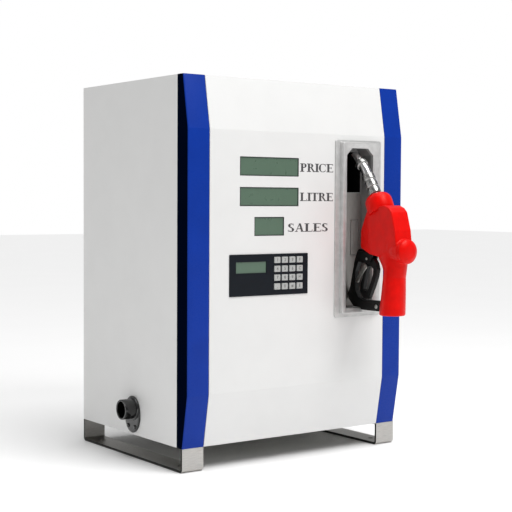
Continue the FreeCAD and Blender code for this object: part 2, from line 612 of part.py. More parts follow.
def make_boot():
    half, raised_half = "(boot_wide / 2)", "(raised_wide / 2)"
    flange = block("boot_plate", (f"boot_x - {half}", f"boot_x + {half}"), (f"{FRONT} - boot_thick", FRONT),
                   ("boot_low", "boot_low + boot_tall"))
    raised = block("boot_raised", (f"boot_x - {raised_half}", f"boot_x + {raised_half}"),
                   (f"{FRONT} - boot_proud", FRONT), ("raised_low", "raised_top"))
    mouth = prism("boot_mouth", "y", mouth_outline("0"), f"{FRONT} - 20", f"{FRONT} + 5")
    piece("boot_bezel", cut("boot_frame", join("boot_cast", flange, raised), mouth))

    shell = prism("pocket_outside", "y", mouth_outline("boot_wall"), FRONT, "boot_back + boot_wall")
    room = prism("pocket_inside", "y", mouth_outline("0"), f"{FRONT} - 1", "boot_back")
    wide = ("boot_x - socket_half", "boot_x + socket_half")
    back = ("boot_back - 1", "boot_back + boot_wall + 1")
    spout_way = block("socket_way", wide, back, ("socket_low", "mouth_top - 6"))
    flap_way = block("flap_way", ("flap_x - flap_half", "flap_x + flap_half"), back,
                     ("flap_axis_z - 66", "flap_axis_z + 7"))
    ears = [block(f"flap_ear_{number}", (low, f"{low} + 4"), ("boot_back + boot_wall", "flap_axis_y + 5"),
                  ("flap_axis_z - 6", "flap_axis_z + 6"))
            for number, low in enumerate(("flap_x - flap_half - 4", "flap_x + flap_half"))]
    bore = rod("flap_bore", "x", "2 + running_gap", "flap_x - 15", "flap_x + 15", "0", "flap_axis_y",
               "flap_axis_z")
    pocket = cut("pocket_open", shell, room, spout_way, flap_way)
    piece("boot_pocket", cut("pocket", join("pocket_with_ears", pocket, *ears), bore))

    box = block("socket_outside", ("boot_x - socket_half - boot_wall", "boot_x + socket_half + boot_wall"),
                ("boot_back + boot_wall", "boot_back + socket_deep + boot_wall"),
                ("socket_low - boot_wall", "mouth_top - 6 + boot_wall"))
    hollow = block("socket_inside", wide, ("boot_back + 1", "boot_back + socket_deep"),
                   ("socket_low", "mouth_top - 6"))
    piece("spout_socket", cut("socket", box, hollow))

    plate = block("wear_sheet", wide, ("boot_back - sheet_metal", "boot_back"),
                  ("mouth_low + 2", "socket_low - 1"))
    gap = block("wear_gap", ("flap_x - flap_half - 1.5", "flap_x + flap_half + 1.5"),
                ("boot_back - 3", "boot_back + 1"), ("flap_axis_z - 68", "flap_axis_z + 9"))
    piece("wear_plate", cut("wear", plate, gap))

    at = {"y": "flap_axis_y", "z": "flap_axis_z"}
    knuckle = rod("flap_knuckle", "x", "4.5", "flap_x - 8", "flap_x + 8", **at)
    pin = rod("flap_pin", "x", "2", "flap_x - 13", "flap_x + 13", **at)
    leaf = block("flap_leaf", ("flap_x - 7.5", "flap_x + 7.5"), ("flap_axis_y - 4.5", "flap_axis_y - 2"),
                 ("flap_axis_z - 62", "flap_axis_z"))
    paddle = block("flap_paddle", ("flap_x - 5", "flap_x + 5"), ("flap_axis_y - 14", "flap_axis_y - 4"),
                   ("flap_axis_z - 58", "flap_axis_z - 42"))
    piece("hook_flap", join("flap", knuckle, pin, leaf, paddle))


# ---------------------------------------------------------------- pump set

def make_suction_port():
    """The pipe is full size outside its flange and turned down where it passes inside."""
    at = {"y": "port_y", "z": "port_z"}
    pump_face = "(pump_x - pump_half)"
    flange_face = f"({LEFT} - oval_thick)"
    outer = rod("port_tube", "x", "port_radius", f"{LEFT} - port_out", flange_face, **at)
    neck = rod("port_neck_tube", "x", "port_neck", flange_face, pump_face, **at)
    bore = rod("port_way", "x", "port_bore", f"{LEFT} - port_out - 1", f"{pump_face} + 1", **at)
    piece("port_stub", cut("port", join("port_turned", outer, neck), bore))
    oval = doc.addObject("Part::Ellipse", "oval_edge")
    bind(oval, "MajorRadius", "oval_tall")
    bind(oval, "MinorRadius", "oval_wide")
    # The ellipse's long axis goes to Z and its normal to X.
    oval.Placement.Rotation = Rotation(Vector(0, 0, 1), Vector(0, 1, 0), Vector(1, 0, 0), "XYZ")
    bind(oval, "Placement.Base.x", flange_face)
    bind(oval, "Placement.Base.y", "oval_y")
    bind(oval, "Placement.Base.z", "oval_z")
    plate = doc.addObject("Part::Extrusion", "oval_plate")
    plate.Base = oval
    plate.DirMode = "Custom"
    plate.Dir = Vector(1, 0, 0)
    plate.Solid = True
    bind(plate, "LengthFwd", "oval_thick")
    hole = rod("oval_hole", "x", "port_neck", f"{flange_face} - 1", f"{LEFT} + 1", **at)
    piece("port_flange", cut("oval", plate, hole))


def make_pump():
    middle = {"x": "pump_x", "z": "drive_z"}
    case = block("pump_case", ("pump_x - pump_half", "pump_x + pump_half"),
                 ("port_y - pump_half", "port_y + pump_half"), ("pump_low", "pump_top"))
    feet = block("pump_feet", ("pump_x - 70", "pump_x + 70"), ("port_y - 45", "port_y + 45"),
                 (FLOOR, "pump_low"))
    boss = rod("pump_boss", "y", "38", "port_y + pump_half", "port_y + pump_half + 12", **middle)
    bore = rod("pump_bore", "y", "shaft_radius + running_gap", "port_y", "port_y + 80", **middle)
    solid = rounded("pump_rounded", case, "10", lambda edge: along(edge, "z"))
    piece("pump_body", cut("pump", join("pump_cast", solid, feet, boss), bore))
    meter = block("meter_case", ("pump_x - meter_half", "pump_x + meter_half"),
                  ("port_y - meter_half", "port_y + meter_half"), ("pump_top", "meter_top"))
    drum = rod("meter_drum_case", "y", "meter_drum", "port_y - 60", "port_y + 55", x="pump_x",
               z="(pump_top + meter_top) / 2")
    softened = rounded("meter_rounded", meter, "8", lambda edge: along(edge, "z"))
    piece("flow_meter", join("meter", softened, drum))


def make_motor():
    middle = {"x": "motor_x", "z": "drive_z"}
    case = rod("motor_case", "y", "motor_radius", "motor_front", "motor_back", **middle)
    bell = rod("motor_end_bell", "y", "motor_bell", "motor_back", "motor_back + 10", **middle)
    feet = block("motor_feet", ("motor_x - 55", "motor_x + 55"), ("-70", "50"), (FLOOR, "drive_z - 45"))
    bore = rod("motor_bore", "y", "shaft_radius + running_gap", "motor_back - 50", "motor_back + 12", **middle)
    terminals = block("motor_box", ("motor_x - 32", "motor_x + 32"), ("-40", "30"),
                      ("drive_z + 50", "drive_z + 75"))
    piece("motor_body", cut("motor", join("motor_cast", case, bell, feet, terminals), bore))


def make_pulley(label, x, pitch, shaft_start):
    """A V-belt pulley with its shaft, turned about Y."""
    middle = {"x": x, "z": "drive_z"}
    wide, half = "(belt_wide / 2 + 6)", "(belt_wide / 2 + 0.4)"
    groove = (f"belt_y - {half}", f"belt_y + {half}")
    rim = rod(f"{label}_rim", "y", f"{pitch} + 5", f"belt_y - {wide}", f"belt_y + {wide}", **middle)
    shaft = rod(f"{label}_shaft", "y", "shaft_radius", shaft_start, f"belt_y + {wide} + 4", **middle)
    outside = rod(f"{label}_groove_outside", "y", f"{pitch} + 9", *groove, **middle)
    core = rod(f"{label}_groove_core", "y", f"{pitch} - belt_thick / 2 - 0.4", *groove, **middle)
    blank = join(f"{label}_blank", rim, shaft)
    piece(label, cut(f"{label}_turned", blank, cut(f"{label}_groove", outside, core)))


def loop_face(left, right, left_radius, right_radius):
    """The area inside an open belt round two circles in the XZ plane."""
    lean = math.asin((left_radius - right_radius) / (right.x - left.x))
    up = Vector(math.sin(lean), 0, math.cos(lean))
    down = Vector(math.sin(lean), 0, -math.cos(lean))
    big_top, big_low = left + up * left_radius, left + down * left_radius
    small_top, small_low = right + up * right_radius, right + down * right_radius
    wire = Part.Wire([
        Part.LineSegment(big_top, small_top).toShape(),
        Part.Arc(small_top, right + Vector(right_radius, 0, 0), small_low).toShape(),
        Part.LineSegment(small_low, big_low).toShape(),
        Part.Arc(big_low, left - Vector(left_radius, 0, 0), big_top).toShape(),
    ])
    return Part.Face(wire)


def make_belt():
    y, wide, half = size("belt_y - belt_wide / 2"), size("belt_wide"), size("belt_thick / 2")
    left = Vector(size("pump_x"), y, size("drive_z"))
    right = Vector(size("motor_x"), y, size("drive_z"))
    big, small = size("pump_pitch"), size("motor_pitch")
    run = Vector(0, wide, 0)
    outer = loop_face(left, right, big + half, small + half).extrude(run)
    inner = loop_face(left, right, big - half, small - half).extrude(run)
    piece("drive_belt", shaped("belt", outer.cut(inner)))


def make_outlet():
    start = Vector(size("pump_x"), size("port_y"), size("meter_top"))
    corner = Vector(start.x, start.y, size("outlet_z"))
    end = Vector(size(f"{RIGHT} - 25"), start.y, corner.z)
    pipe = swept([start, corner, end], [size("pipe_bend")], size("pipe_radius"), size("pipe_bore"))
    piece("outlet_pipe", shaped("outlet", pipe))
    at = {"y": "port_y", "z": "outlet_z"}
    around = ("port_y", "outlet_z")
    inner = f"({RIGHT} - 25)"
    inside = f"({RIGHT} - sheet_metal)"
    nipple = rod("outlet_nipple", "x", "outlet_thread", inner, f"{RIGHT} + port_out", **at)
    flats = hexagon("outlet_hex", "x", "outlet_flats", RIGHT, f"{RIGHT} + 9", *around)
    nut = hexagon("outlet_nut", "x", "outlet_flats", f"{inside} - 8", inside, *around)
    bore = rod("outlet_way", "x", "outlet_bore", f"{inner} - 1", f"{RIGHT} + port_out + 1", **at)
    piece("hose_outlet", cut("outlet_fitting", join("outlet_turned", nipple, flats, nut), bore))


def make_electrics():
    case = block("control_block", ("control_left", "control_right"), ("control_front", "control_back"),
                 ("control_low", f"{TOP} - sheet_metal"))
    piece("control_box", rounded("control_case", case, "4", lambda edge: along(edge, "z")))
    at = ("gland_x", "gland_y")
    body = rod("gland_body", "z", "gland_radius", f"{PAN} - 14", f"{FLOOR} + 10", *at)
    cap = hexagon("gland_cap", "z", "gland_flats", f"{PAN} - 10", PAN, *at)
    nut = hexagon("gland_nut", "z", "gland_flats", FLOOR, f"{FLOOR} + 5", *at)
    bore = rod("gland_way", "z", "gland_bore", f"{PAN} - 15", f"{FLOOR} + 11", *at)
    piece("cable_gland", cut("gland", join("gland_moulded", body, cap, nut), bore))


# ---------------------------------------------------------------- nozzle

def lean(rise):
    """Direction in the YZ plane that rises by so many degrees towards the back."""
    angle = math.radians(size(rise))
    return Vector(0, math.cos(angle), math.sin(angle))


def turned(outline, start, direction):
    """A solid of revolution about a line: the outline gives (distance along, radius)."""
    corners = [Vector(radius, 0, distance) for distance, radius in outline]
    face = Part.Face(Part.makePolygon(corners + corners[:1]))
    solid = face.revolve(Vector(0, 0, 0), Vector(0, 0, 1), 360)
    solid.Placement = Placement(start, Rotation(Vector(0, 0, 1), direction))
    return solid


def spout_leaves():
    """Where the spout's axis leaves the collar."""
    return Vector(size("nozzle_x"), size("spout_y"), size("spout_z"))


def spout_foot():
    """Lower end of the spout's axis, inside the collar."""
    return spout_leaves() - lean("spout_rise") * size("spout_buried")


def make_spout():
    up, out = lean("spout_rise"), lean("spout_tip_rise")
    leave = spout_leaves()
    bend = leave + up * size("spout_lower")
    tip = bend + out * size("spout_upper")
    radius, ring = size("spout_radius"), size("bead_radius")
    core = (radius + ring) / 2
    tube = swept([spout_foot(), bend, tip], [size("spout_bend")], radius, size("spout_radius - spout_wall"))
    piece("spout_tube", shaped("spout", tube))
    lower = [(0, radius), (0, core)]
    for number in range(3):
        start = 1 + size("bead_pitch") * number
        lower += [(start, core), (start + 2, ring), (start + 12, ring), (start + 14, core)]
    lower += [(49, core), (49, radius)]
    upper = [(9, radius), (9, core), (11, ring), (19, ring), (21, core), (21, radius)]
    sleeve = group("sleeve", shaped("lower_beads", turned(lower[1:], leave, up)),
                   shaped("upper_bead", turned(upper, bend, out)))
    piece("spout_spring", sleeve)


def collar_foot():
    """Lower end of the collar's axis."""
    top = Vector(size("nozzle_x"), size("collar_y"), size("spout_z"))
    return top - lean("collar_rise") * 34


def make_collar():
    wide = size("collar_radius")
    dome = [(0, 0), (0, wide), (20, wide), (28, wide - 4), (32, wide - 9), (34, 12), (34, 0)]
    blank = shaped("collar_dome", turned(dome, collar_foot(), lean("collar_rise")))
    way = shaped("collar_way", Part.makeCylinder(size("spout_radius"), 90, spout_foot(), lean("spout_rise")))
    piece("spout_collar", cut("collar", blank, way))


def ring_wire(radius, y, z):
    """A level circle on the nozzle's middle plane."""
    return Part.Wire(Part.makeCircle(radius, Vector(size("nozzle_x"), y, z)))


def make_nozzle():
    middle = "nozzle_x"
    half = "(valve_wide / 2)"
    back = "(grip_y + 83)"
    valve = prism("valve_outline", "x", [
        ("grip_y + 58", "valve_low + 92"), (back, "valve_low + 48"), (back, "valve_low + 11"),
        ("grip_y + 47", "valve_low"), ("grip_y - 32", "valve_low - 6"), ("grip_y - 36", "valve_low + 24"),
        ("grip_y - 29.5", "valve_low + 51"), ("grip_y - 22", "valve_low + 75"), ("grip_y - 18.5", "valve_low + 86.5"),
        ("grip_y - 10", "valve_low + 95"), ("grip_y + 3", "valve_low + 100.5"), ("grip_y + 22", "valve_low + 99"),
    ], f"{middle} - {half}", f"{middle} + {half}")
    softened = rounded("valve_softened", valve, "6", lambda edge: not along(edge, "x"))
    tapers = []
    for name, way in (("left", -1), ("right", 1)):
        outer = f"{middle} + {way} * ({half} + 1)"
        inner = f"{middle} + {way} * ({half} - 10)"
        wedge = [(outer, "grip_y + 35"), (outer, f"{back} + 2"), (inner, f"{back} + 2")]
        tapers.append(prism(f"{name}_taper", "z", wedge, "valve_low - 20", "valve_low + 110"))
    rings = [ring_wire(size("grip_radius"), size("grip_y"), size("grip_low")),
             ring_wire(size("waist_radius"), size("waist_y"), size("waist_z")),
             ring_wire(size("waist_radius"), size("waist_y"), size("valve_low + 20"))]
    grip = shaped("grip", Part.makeLoft(rings, True, True))
    boss = rod("cap_boss", "y", "cap_radius", "cap_back", "grip_y", x=middle, z="cap_z")
    casting = join("nozzle_cast", cut("valve_tapered", softened, *tapers), grip, boss)
    dome = Part.makeCylinder(size("collar_radius"), 60, collar_foot(), lean("collar_rise"))
    dome_room = shaped("collar_room", dome)
    spout = Part.makeCylinder(size("spout_radius"), 80, spout_foot(), lean("spout_rise"))
    spout_room = shaped("spout_room", spout)
    hollow = rod("swivel_room", "z", "swivel_radius + 0.35", "grip_low - 1", "grip_low + 32", middle, "grip_y")
    passage = rod("flow_passage", "z", "10", "grip_low + 30", "valve_low + 40", middle, "waist_y")
    piece("nozzle_body", cut("nozzle", casting, dome_room, spout_room, hollow, passage))

    cap = rod("cap_blank", "y", "cap_radius", "cap_front", "cap_back", x=middle, z="cap_z")
    front = size("cap_front") + 1
    piece("nozzle_cap", rounded("cap_bevelled", cap, "5", lambda edge: edge.BoundBox.YMax < front))

    ring = rod("swivel_ring", "z", "swivel_radius", "grip_low + 1", "grip_low + 31.5", middle, "grip_y")
    thread = rod("swivel_thread", "z", "swivel_bore", "grip_low", "grip_low + 26", middle, "grip_y")
    piece("hose_swivel", cut("swivel", ring, thread))


def make_guard():
    """A flat loop below the valve body, with two cheeks that hold the lever, and its rivet."""
    loop = prism("guard_outline", "x", [
        ("grip_y + 95", "valve_low + 12"), ("grip_y + 100", "valve_low + 8"), ("grip_y + 110", "valve_low - 13"),
        ("grip_y + 117", "valve_low - 42"), ("grip_y + 123", "valve_low - 66"), ("grip_y + 130", "valve_low - 82"),
        ("grip_y + 128", "valve_low - 92"), ("grip_y + 112", "valve_low - 108"), ("grip_y + 92", "valve_low - 108"),
        ("grip_y + 89", "valve_low - 114"),
        ("grip_y + 15", "valve_low - 113"), ("grip_y + 15", "valve_low - 91"), ("grip_y + 60", "valve_low - 91"),
        ("grip_y + 80", "valve_low - 93"), ("grip_y + 97", "valve_low - 88"), ("grip_y + 107", "valve_low - 74"),
        ("grip_y + 107", "valve_low - 35"), ("grip_y + 100", "valve_low - 21"), ("grip_y + 96", "valve_low - 11"),
        ("grip_y + 84", "valve_low - 11"), ("grip_y + 84", "valve_low + 12"),
    ], "nozzle_x - guard_half", "nozzle_x + guard_half")
    cheek = [
        ("grip_y + 95", "valve_low + 12"), ("grip_y + 98", "valve_low + 4"), ("grip_y + 96", "valve_low - 11"),
        ("grip_y + 68", "valve_low - 13"), ("grip_y + 60", "valve_low - 12"), ("grip_y + 54", "valve_low - 2"),
        ("grip_y + 50", "valve_low + 12"),
    ]
    left = prism("left_cheek", "x", cheek, "nozzle_x - cheek_out", "nozzle_x - guard_half")
    right = prism("right_cheek", "x", cheek, "nozzle_x + guard_half", "nozzle_x + cheek_out")
    pin = rod("lever_pivot", "x", "lever_pin", "nozzle_x - cheek_out - 1", "nozzle_x + cheek_out + 1", "0",
              "lever_y", "lever_z")
    rivet = rod("guard_rivet", "x", "4.5", "nozzle_x - guard_half - 1.5", "nozzle_x + guard_half + 1.5", "0",
                "rivet_y", "rivet_z")
    valve = prism("guard_valve_room", "x", [
        ("grip_y + 83", "valve_low + 11"), ("grip_y + 47", "valve_low"), ("grip_y + 20", "valve_low"),
        ("grip_y + 20", "valve_low + 40"), ("grip_y + 83", "valve_low + 40")], "nozzle_x - 30", "nozzle_x + 30")
    wires = [ring_wire(size("grip_radius"), size("grip_y"), size("grip_low")),
             ring_wire(size("waist_radius"), size("waist_y"), size("waist_z"))]
    grip = shaped("guard_grip_room", Part.makeLoft(wires, True, True))
    piece("lever_guard", cut("guard", join("guard_moulded", loop, left, right, pin, rivet), grip, valve))


def make_lever():
    blade = prism("lever_outline", "x", [
        ("lever_y + 7", "lever_z + 1"), ("lever_y + 4", "lever_z + 6"), ("lever_y - 8", "lever_z + 6"),
        ("lever_y - 16", "lever_z + 2"), ("lever_y - 25", "lever_z - 9"), ("lever_y - 28.3", "lever_z - 20"),
        ("lever_y - 25", "lever_z - 35"), ("lever_y - 16.5", "lever_z - 54.5"), ("lever_y - 3", "lever_z - 80"),
        ("lever_y + 5", "lever_z - 81.5"), ("lever_y + 15", "lever_z - 79"), ("lever_y + 24", "lever_z - 66"),
        ("lever_y + 22", "lever_z - 50"), ("lever_y + 15", "lever_z - 36"), ("lever_y + 8", "lever_z - 14"),
    ], "nozzle_x - lever_half", "nozzle_x + lever_half")
    slot = prism("lever_slot", "x", [
        ("lever_y + 1", "lever_z - 16.5"), ("lever_y - 9", "lever_z - 14"), ("lever_y - 16", "lever_z - 20"),
        ("lever_y - 15", "lever_z - 31"), ("lever_y - 3", "lever_z - 59"), ("lever_y + 3", "lever_z - 66"),
        ("lever_y + 15", "lever_z - 63"), ("lever_y + 11", "lever_z - 47"), ("lever_y + 6", "lever_z - 31"),
    ], "nozzle_x - 20", "nozzle_x + 20")
    bore = rod("lever_bore", "x", "lever_pin + running_gap", "nozzle_x - 20", "nozzle_x + 20", "0", "lever_y",
               "lever_z")
    stud = rod("clip_stud", "x", "clip_pin", "nozzle_x - cheek_out - 1", "nozzle_x - lever_half", "0", "clip_y",
               "clip_z")
    piece("lever", join("lever_with_stud", cut("lever_cut", blade, slot, bore), stud))


def make_hold_clip():
    bar = prism("clip_outline", "x", [
        ("clip_y - 4", "clip_z - 3"), ("clip_y - 4", "clip_z + 3"), ("clip_y + 3", "clip_z + 4"),
        ("clip_y + 8", "clip_z - 2"), ("clip_y + 18", "clip_z - 16"), ("clip_y + 28", "clip_z - 29"),
        ("clip_y + 27", "clip_z - 34"), ("clip_y + 22", "clip_z - 35"), ("clip_y + 12", "clip_z - 22"),
    ], "nozzle_x - cheek_out + 0.5", "nozzle_x - guard_half - 0.3")
    bore = rod("clip_bore", "x", "clip_pin + running_gap", "nozzle_x - 15", "nozzle_x", "0", "clip_y", "clip_z")
    piece("hold_clip", cut("clip", bar, bore))


def check():
    """Stop if anything in the document failed, or a sub-part isn't whole."""
    doc.recompute()
    for thing in doc.Objects:
        if "Invalid" in thing.State or "Error" in thing.State:
            raise RuntimeError(f"{thing.Name} failed: {thing.State}")
    for thing in pieces:
        if thing.Shape.isNull() or not thing.Shape.isValid() or not thing.Shape.Solids:
            raise RuntimeError(f"{thing.Label} has no valid shape")


def main():
    make_base_pan()
    make_side_panels()
    make_corner_trims()
    make_front_panel()
    make_skids()
    make_skid_bolts()
    make_rear_door()
    make_door_lock()
    make_displays()
    make_keypad()
    make_boot()
    make_suction_port()
    make_pump()
    make_motor()
    make_pulley("pump_pulley", "pump_x", "pump_pitch", "port_y + 10")
    make_pulley("motor_pulley", "motor_x", "motor_pitch", "25")
    make_belt()
    make_outlet()
    make_electrics()
    make_spout()
    make_collar()
    make_nozzle()
    make_guard()
    make_lever()
    make_hold_clip()
    check()
    os.makedirs("parts", exist_ok=True)
    for thing in pieces:
        thing.Shape.exportStep(f"parts/{thing.Label}.step")
        print(f"{thing.Label:20s} solids {len(thing.Shape.Solids)} volume {thing.Shape.Volume:12.1f}")
    print(len(pieces), "sub-parts")


main()
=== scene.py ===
"""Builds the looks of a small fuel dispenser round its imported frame: painted sheet-metal cabinet, bent
skids, displays, keypad, cast nozzle boot and the hand nozzle. Lengths are in metres."""

import math

import bmesh
import bpy
from mathutils import Matrix, Vector


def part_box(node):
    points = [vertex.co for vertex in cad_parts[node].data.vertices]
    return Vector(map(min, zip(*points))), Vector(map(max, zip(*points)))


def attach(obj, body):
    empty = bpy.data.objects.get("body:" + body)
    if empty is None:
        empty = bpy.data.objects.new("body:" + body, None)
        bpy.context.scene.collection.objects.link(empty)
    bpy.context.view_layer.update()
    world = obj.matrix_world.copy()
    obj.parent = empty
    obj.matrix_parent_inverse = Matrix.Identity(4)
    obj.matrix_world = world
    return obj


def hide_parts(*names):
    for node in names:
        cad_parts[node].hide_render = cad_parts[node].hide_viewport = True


bl_info = {
    "name": "Fuel dispenser",
    "version": (1, 0, 0),
    "blender": (4, 5, 0),
    "location": "View3D > Sidebar > Dispenser",
    "description": "Builds a fuel dispenser's visible pieces and their finishes",
    "category": "Add Mesh",
}

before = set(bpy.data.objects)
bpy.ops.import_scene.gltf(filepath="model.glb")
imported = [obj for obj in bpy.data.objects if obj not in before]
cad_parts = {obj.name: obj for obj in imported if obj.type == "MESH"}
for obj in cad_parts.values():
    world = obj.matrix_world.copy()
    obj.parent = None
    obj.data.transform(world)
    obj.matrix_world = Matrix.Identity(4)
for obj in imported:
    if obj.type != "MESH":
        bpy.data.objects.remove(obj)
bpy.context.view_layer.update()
MM = 0.001


def linear(code):
    """Linear red, green and blue of an sRGB hex colour."""
    parts = [int(code[start:start + 2], 16) / 255 for start in (1, 3, 5)]
    return tuple(part / 12.92 if part <= 0.04045 else ((part + 0.055) / 1.055) ** 2.4
                 for part in parts)


def colour(name, code, description):
    """A colour property."""
    return bpy.props.FloatVectorProperty(name=name, description=description, default=linear(code),
                                         subtype="COLOR", size=3, min=0, max=1)


def length(name, millimetres, description):
    """A length property, given in millimetres and held in metres."""
    return bpy.props.FloatProperty(name=name, description=description, default=millimetres * MM,
                                   unit="LENGTH", min=0)


def number(name, value, description, **more):
    """A number property."""
    return bpy.props.FloatProperty(name=name, description=description, default=value, **more)


class DispenserSizes(bpy.types.PropertyGroup):
    """Sizes of the details that the frame doesn't hold."""

    fold: length("Fold", 3, "Outer radius of the cabinet's sheet-metal folds")
    slope: length("Slope", 101, "Height of the front's sloping bands")
    bulge: length("Bulge", 17.5, "How far the front stands out between the slopes")
    seam: length("Seam", 0.5, "Gap between the front panel and each corner trim")
    bar: length("Bar", 5, "Thickness of the skids' flat bar")
    bar_bend: length("Bar bend", 8, "Outer radius of the skids' bends")
    flange_thick: length("Flange thickness", 2.5, "Thickness of the boot's flange")
    mouth_corner: length("Mouth corner", 14, "Bevel of the boot mouth's upper corners")
    capital: length("Capital", 16.5, "Height of the words beside the displays")
    digit: length("Digit", 6.2, "Height of the figures on the keys")


class DispenserColours(bpy.types.PropertyGroup):
    """Colours of the finishes."""

    white: colour("White", "#d7d7d6", "Powder coat of the cabinet")
    blue: colour("Blue", "#06308e", "Enamel of the corner trims")
    navy: colour("Navy", "#02081a", "Enamel of the trims' side returns")
    red: colour("Red", "#d60703", "Vinyl jacket of the nozzle")
    stainless: colour("Stainless", "#bdbbb7", "Skids and wear plate")
    casting: colour("Casting", "#c3c3c2", "Cast nozzle boot")
    screen: colour("Screen", "#4d6453", "Unlit liquid crystal display")
    keypad: colour("Keypad", "#070e16", "Keypad bezel")
    key: colour("Key", "#a3a5a3", "Silicone keys")
    ink: colour("Ink", "#3b3b3d", "Printed words")


class DispenserStage(bpy.types.PropertyGroup):
    """Camera, lights and floor."""

    eye: bpy.props.FloatVectorProperty(name="Eye", description="Place of the camera", unit="LENGTH", size=3,
                                       default=(-1.4787, -2.1068, 0.5126))
    yaw: number("Yaw", math.radians(35.86), "Camera's turn to the right of straight ahead", subtype="ANGLE")
    pitch: number("Pitch", math.radians(-2.62), "Camera's tilt up", subtype="ANGLE")
    roll: number("Roll", math.radians(0.316), "Camera's roll", subtype="ANGLE")
    lens: number("Lens", 85.73, "Focal length in millimetres", min=10)
    key: number("Key light", 31, "Power of the soft box, in watts", min=0)
    fill: number("Left fill", 2.5, "Power of the fill light, in watts", min=0)
    sky: number("Sky light", 1.95, "Strength of the light from above, in watts per square metre", min=0)
    ambient: number("Ambient", 0.33, "Strength of the backdrop's light on the object", min=0)
    floor: colour("Floor", "#fdfdfd", "Pale floor")


# ---------------------------------------------------------------- places taken from the frame

def middle(node):
    """Centre of a node's box."""
    low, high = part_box(node)
    return (low + high) / 2


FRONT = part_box("front_panel")[0].y
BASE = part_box("front_panel")[0].z
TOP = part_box("front_panel")[1].z
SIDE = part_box("left_side_panel")[0].x
SIDE_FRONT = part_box("left_side_panel")[0].y
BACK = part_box("left_side_panel")[1].y
TRIM_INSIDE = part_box("front_panel")[0].x
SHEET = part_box("right_side_panel")[1].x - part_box("right_side_panel")[0].x

# Sizes and places that the boxes don't give. Each pivot, pin and foot is a place in (y, z).
WINDOW_WIDE, WINDOW_TALL, WINDOW_STEP = 137.7 * MM, 33.2 * MM, 58 * MM
SHORT_WINDOW_LEFT, SHORT_WINDOW_WIDE = -112 * MM, 68 * MM
KEYPAD_SCREEN = ((-157 * MM, 373 * MM), (-85.5 * MM, 394.5 * MM))
ANCHOR_X, ANCHOR_Y = 241 * MM, 150 * MM
FLAP_PIVOT = (-177 * MM, 466 * MM)
VALVE_LOW = 404 * MM
LEVER_PIVOT = (-250 * MM, 396 * MM)
CLIP_PIVOT = (-245 * MM, 381 * MM)
GUARD_PIN = (-276 * MM, 301 * MM)
SPOUT_FOOT = (-266.3 * MM, 524.5 * MM)
DOME_FOOT = (-268.5 * MM, 524.5 * MM)
SPOUT_RADIUS = 10 * MM
ACROSS = 30 * MM    # further than half of the nozzle's width


# ---------------------------------------------------------------- materials

materials = {}


def node(tree, kind, settings=None, links=None, into=None):
    """Add one shader node, set its values, link its inputs, and link its output into a socket."""
    made = tree.nodes.new("ShaderNode" + kind)
    for name, value in (settings or {}).items():
        if hasattr(made, name):
            setattr(made, name, value)
        else:
            made.inputs[name].default_value = value
    for name, source in (links or {}).items():
        tree.links.new(source, made.inputs[name])
    if into:
        tree.links.new(made.outputs[0], into)
    return made


def surface(name, tint, roughness, metallic=0.0, **sockets):
    """Make a material with its shader's constants set. Gives its tree, shader and pattern coordinates."""
    made = bpy.data.materials.new(name)
    made.use_nodes = True
    tree = made.node_tree
    shader = tree.nodes["Principled BSDF"]
    shader.inputs["Base Color"].default_value = (*tint, 1)
    shader.inputs["Roughness"].default_value = roughness
    shader.inputs["Metallic"].default_value = metallic
    for socket, value in sockets.items():
        shader.inputs[socket.replace("_", " ")].default_value = value
    made.diffuse_color = (*tint, 1)
    materials[name] = made
    return tree, shader, node(tree, "TexCoord").outputs["Object"]


def noise(tree, place, size, detail=3.0, stretch=None):
    """Noise whose grains are about the given size across, in metres, and stretched along an axis if asked."""
    if stretch:
        place = node(tree, "Mapping", {"Scale": stretch}, {"Vector": place}).outputs[0]
    return node(tree, "TexNoise", {"Scale": 1 / size, "Detail": detail}, {"Vector": place}).outputs["Fac"]


# Nearly all of a noise pattern's values lie between these.
DARK, LIGHT = 0.3, 0.7


def spread(tree, value, low, high, into):
    """Map a pattern to a range of values for a socket."""
    node(tree, "MapRange", {"From Min": DARK, "From Max": LIGHT, "To Min": low, "To Max": high},
         {"Value": value}, into)


def tinted(tree, value, shader, first, second, dark=DARK, light=LIGHT):
    """Vary the base colour between two tints by a pattern."""
    ramp = node(tree, "ValToRGB", {}, {"Fac": value}, shader.inputs["Base Color"])
    ramp.color_ramp.elements[0].position = dark
    ramp.color_ramp.elements[1].position = light
    ramp.color_ramp.elements[0].color = (*first, 1)
    ramp.color_ramp.elements[1].color = (*second, 1)


def relief(tree, value, shader, height, strength=1.0):
    """Raise a pattern above the surface by a height in metres."""
    node(tree, "Bump", {"Distance": height, "Strength": strength}, {"Height": value}, shader.inputs["Normal"])


def shade(tint, factor):
    """A darker or lighter tint."""
    return tuple(min(1.0, part * factor) for part in tint)


def powder_coat(name, tint, roughness, peel=1.6):
    """Powder coat: an even satin skin with faint orange peel, which softens its highlights."""
    tree, shader, place = surface(name, tint, roughness, Coat_Weight=0.15, Coat_Roughness=0.25)
    tinted(tree, noise(tree, place, 60 * MM), shader, shade(tint, 0.975), shade(tint, 1.0))
    grain = noise(tree, place, peel * MM, 2.0)
    spread(tree, grain, roughness * 0.9, roughness * 1.12, shader.inputs["Roughness"])
    relief(tree, grain, shader, 0.02 * MM, 0.5)


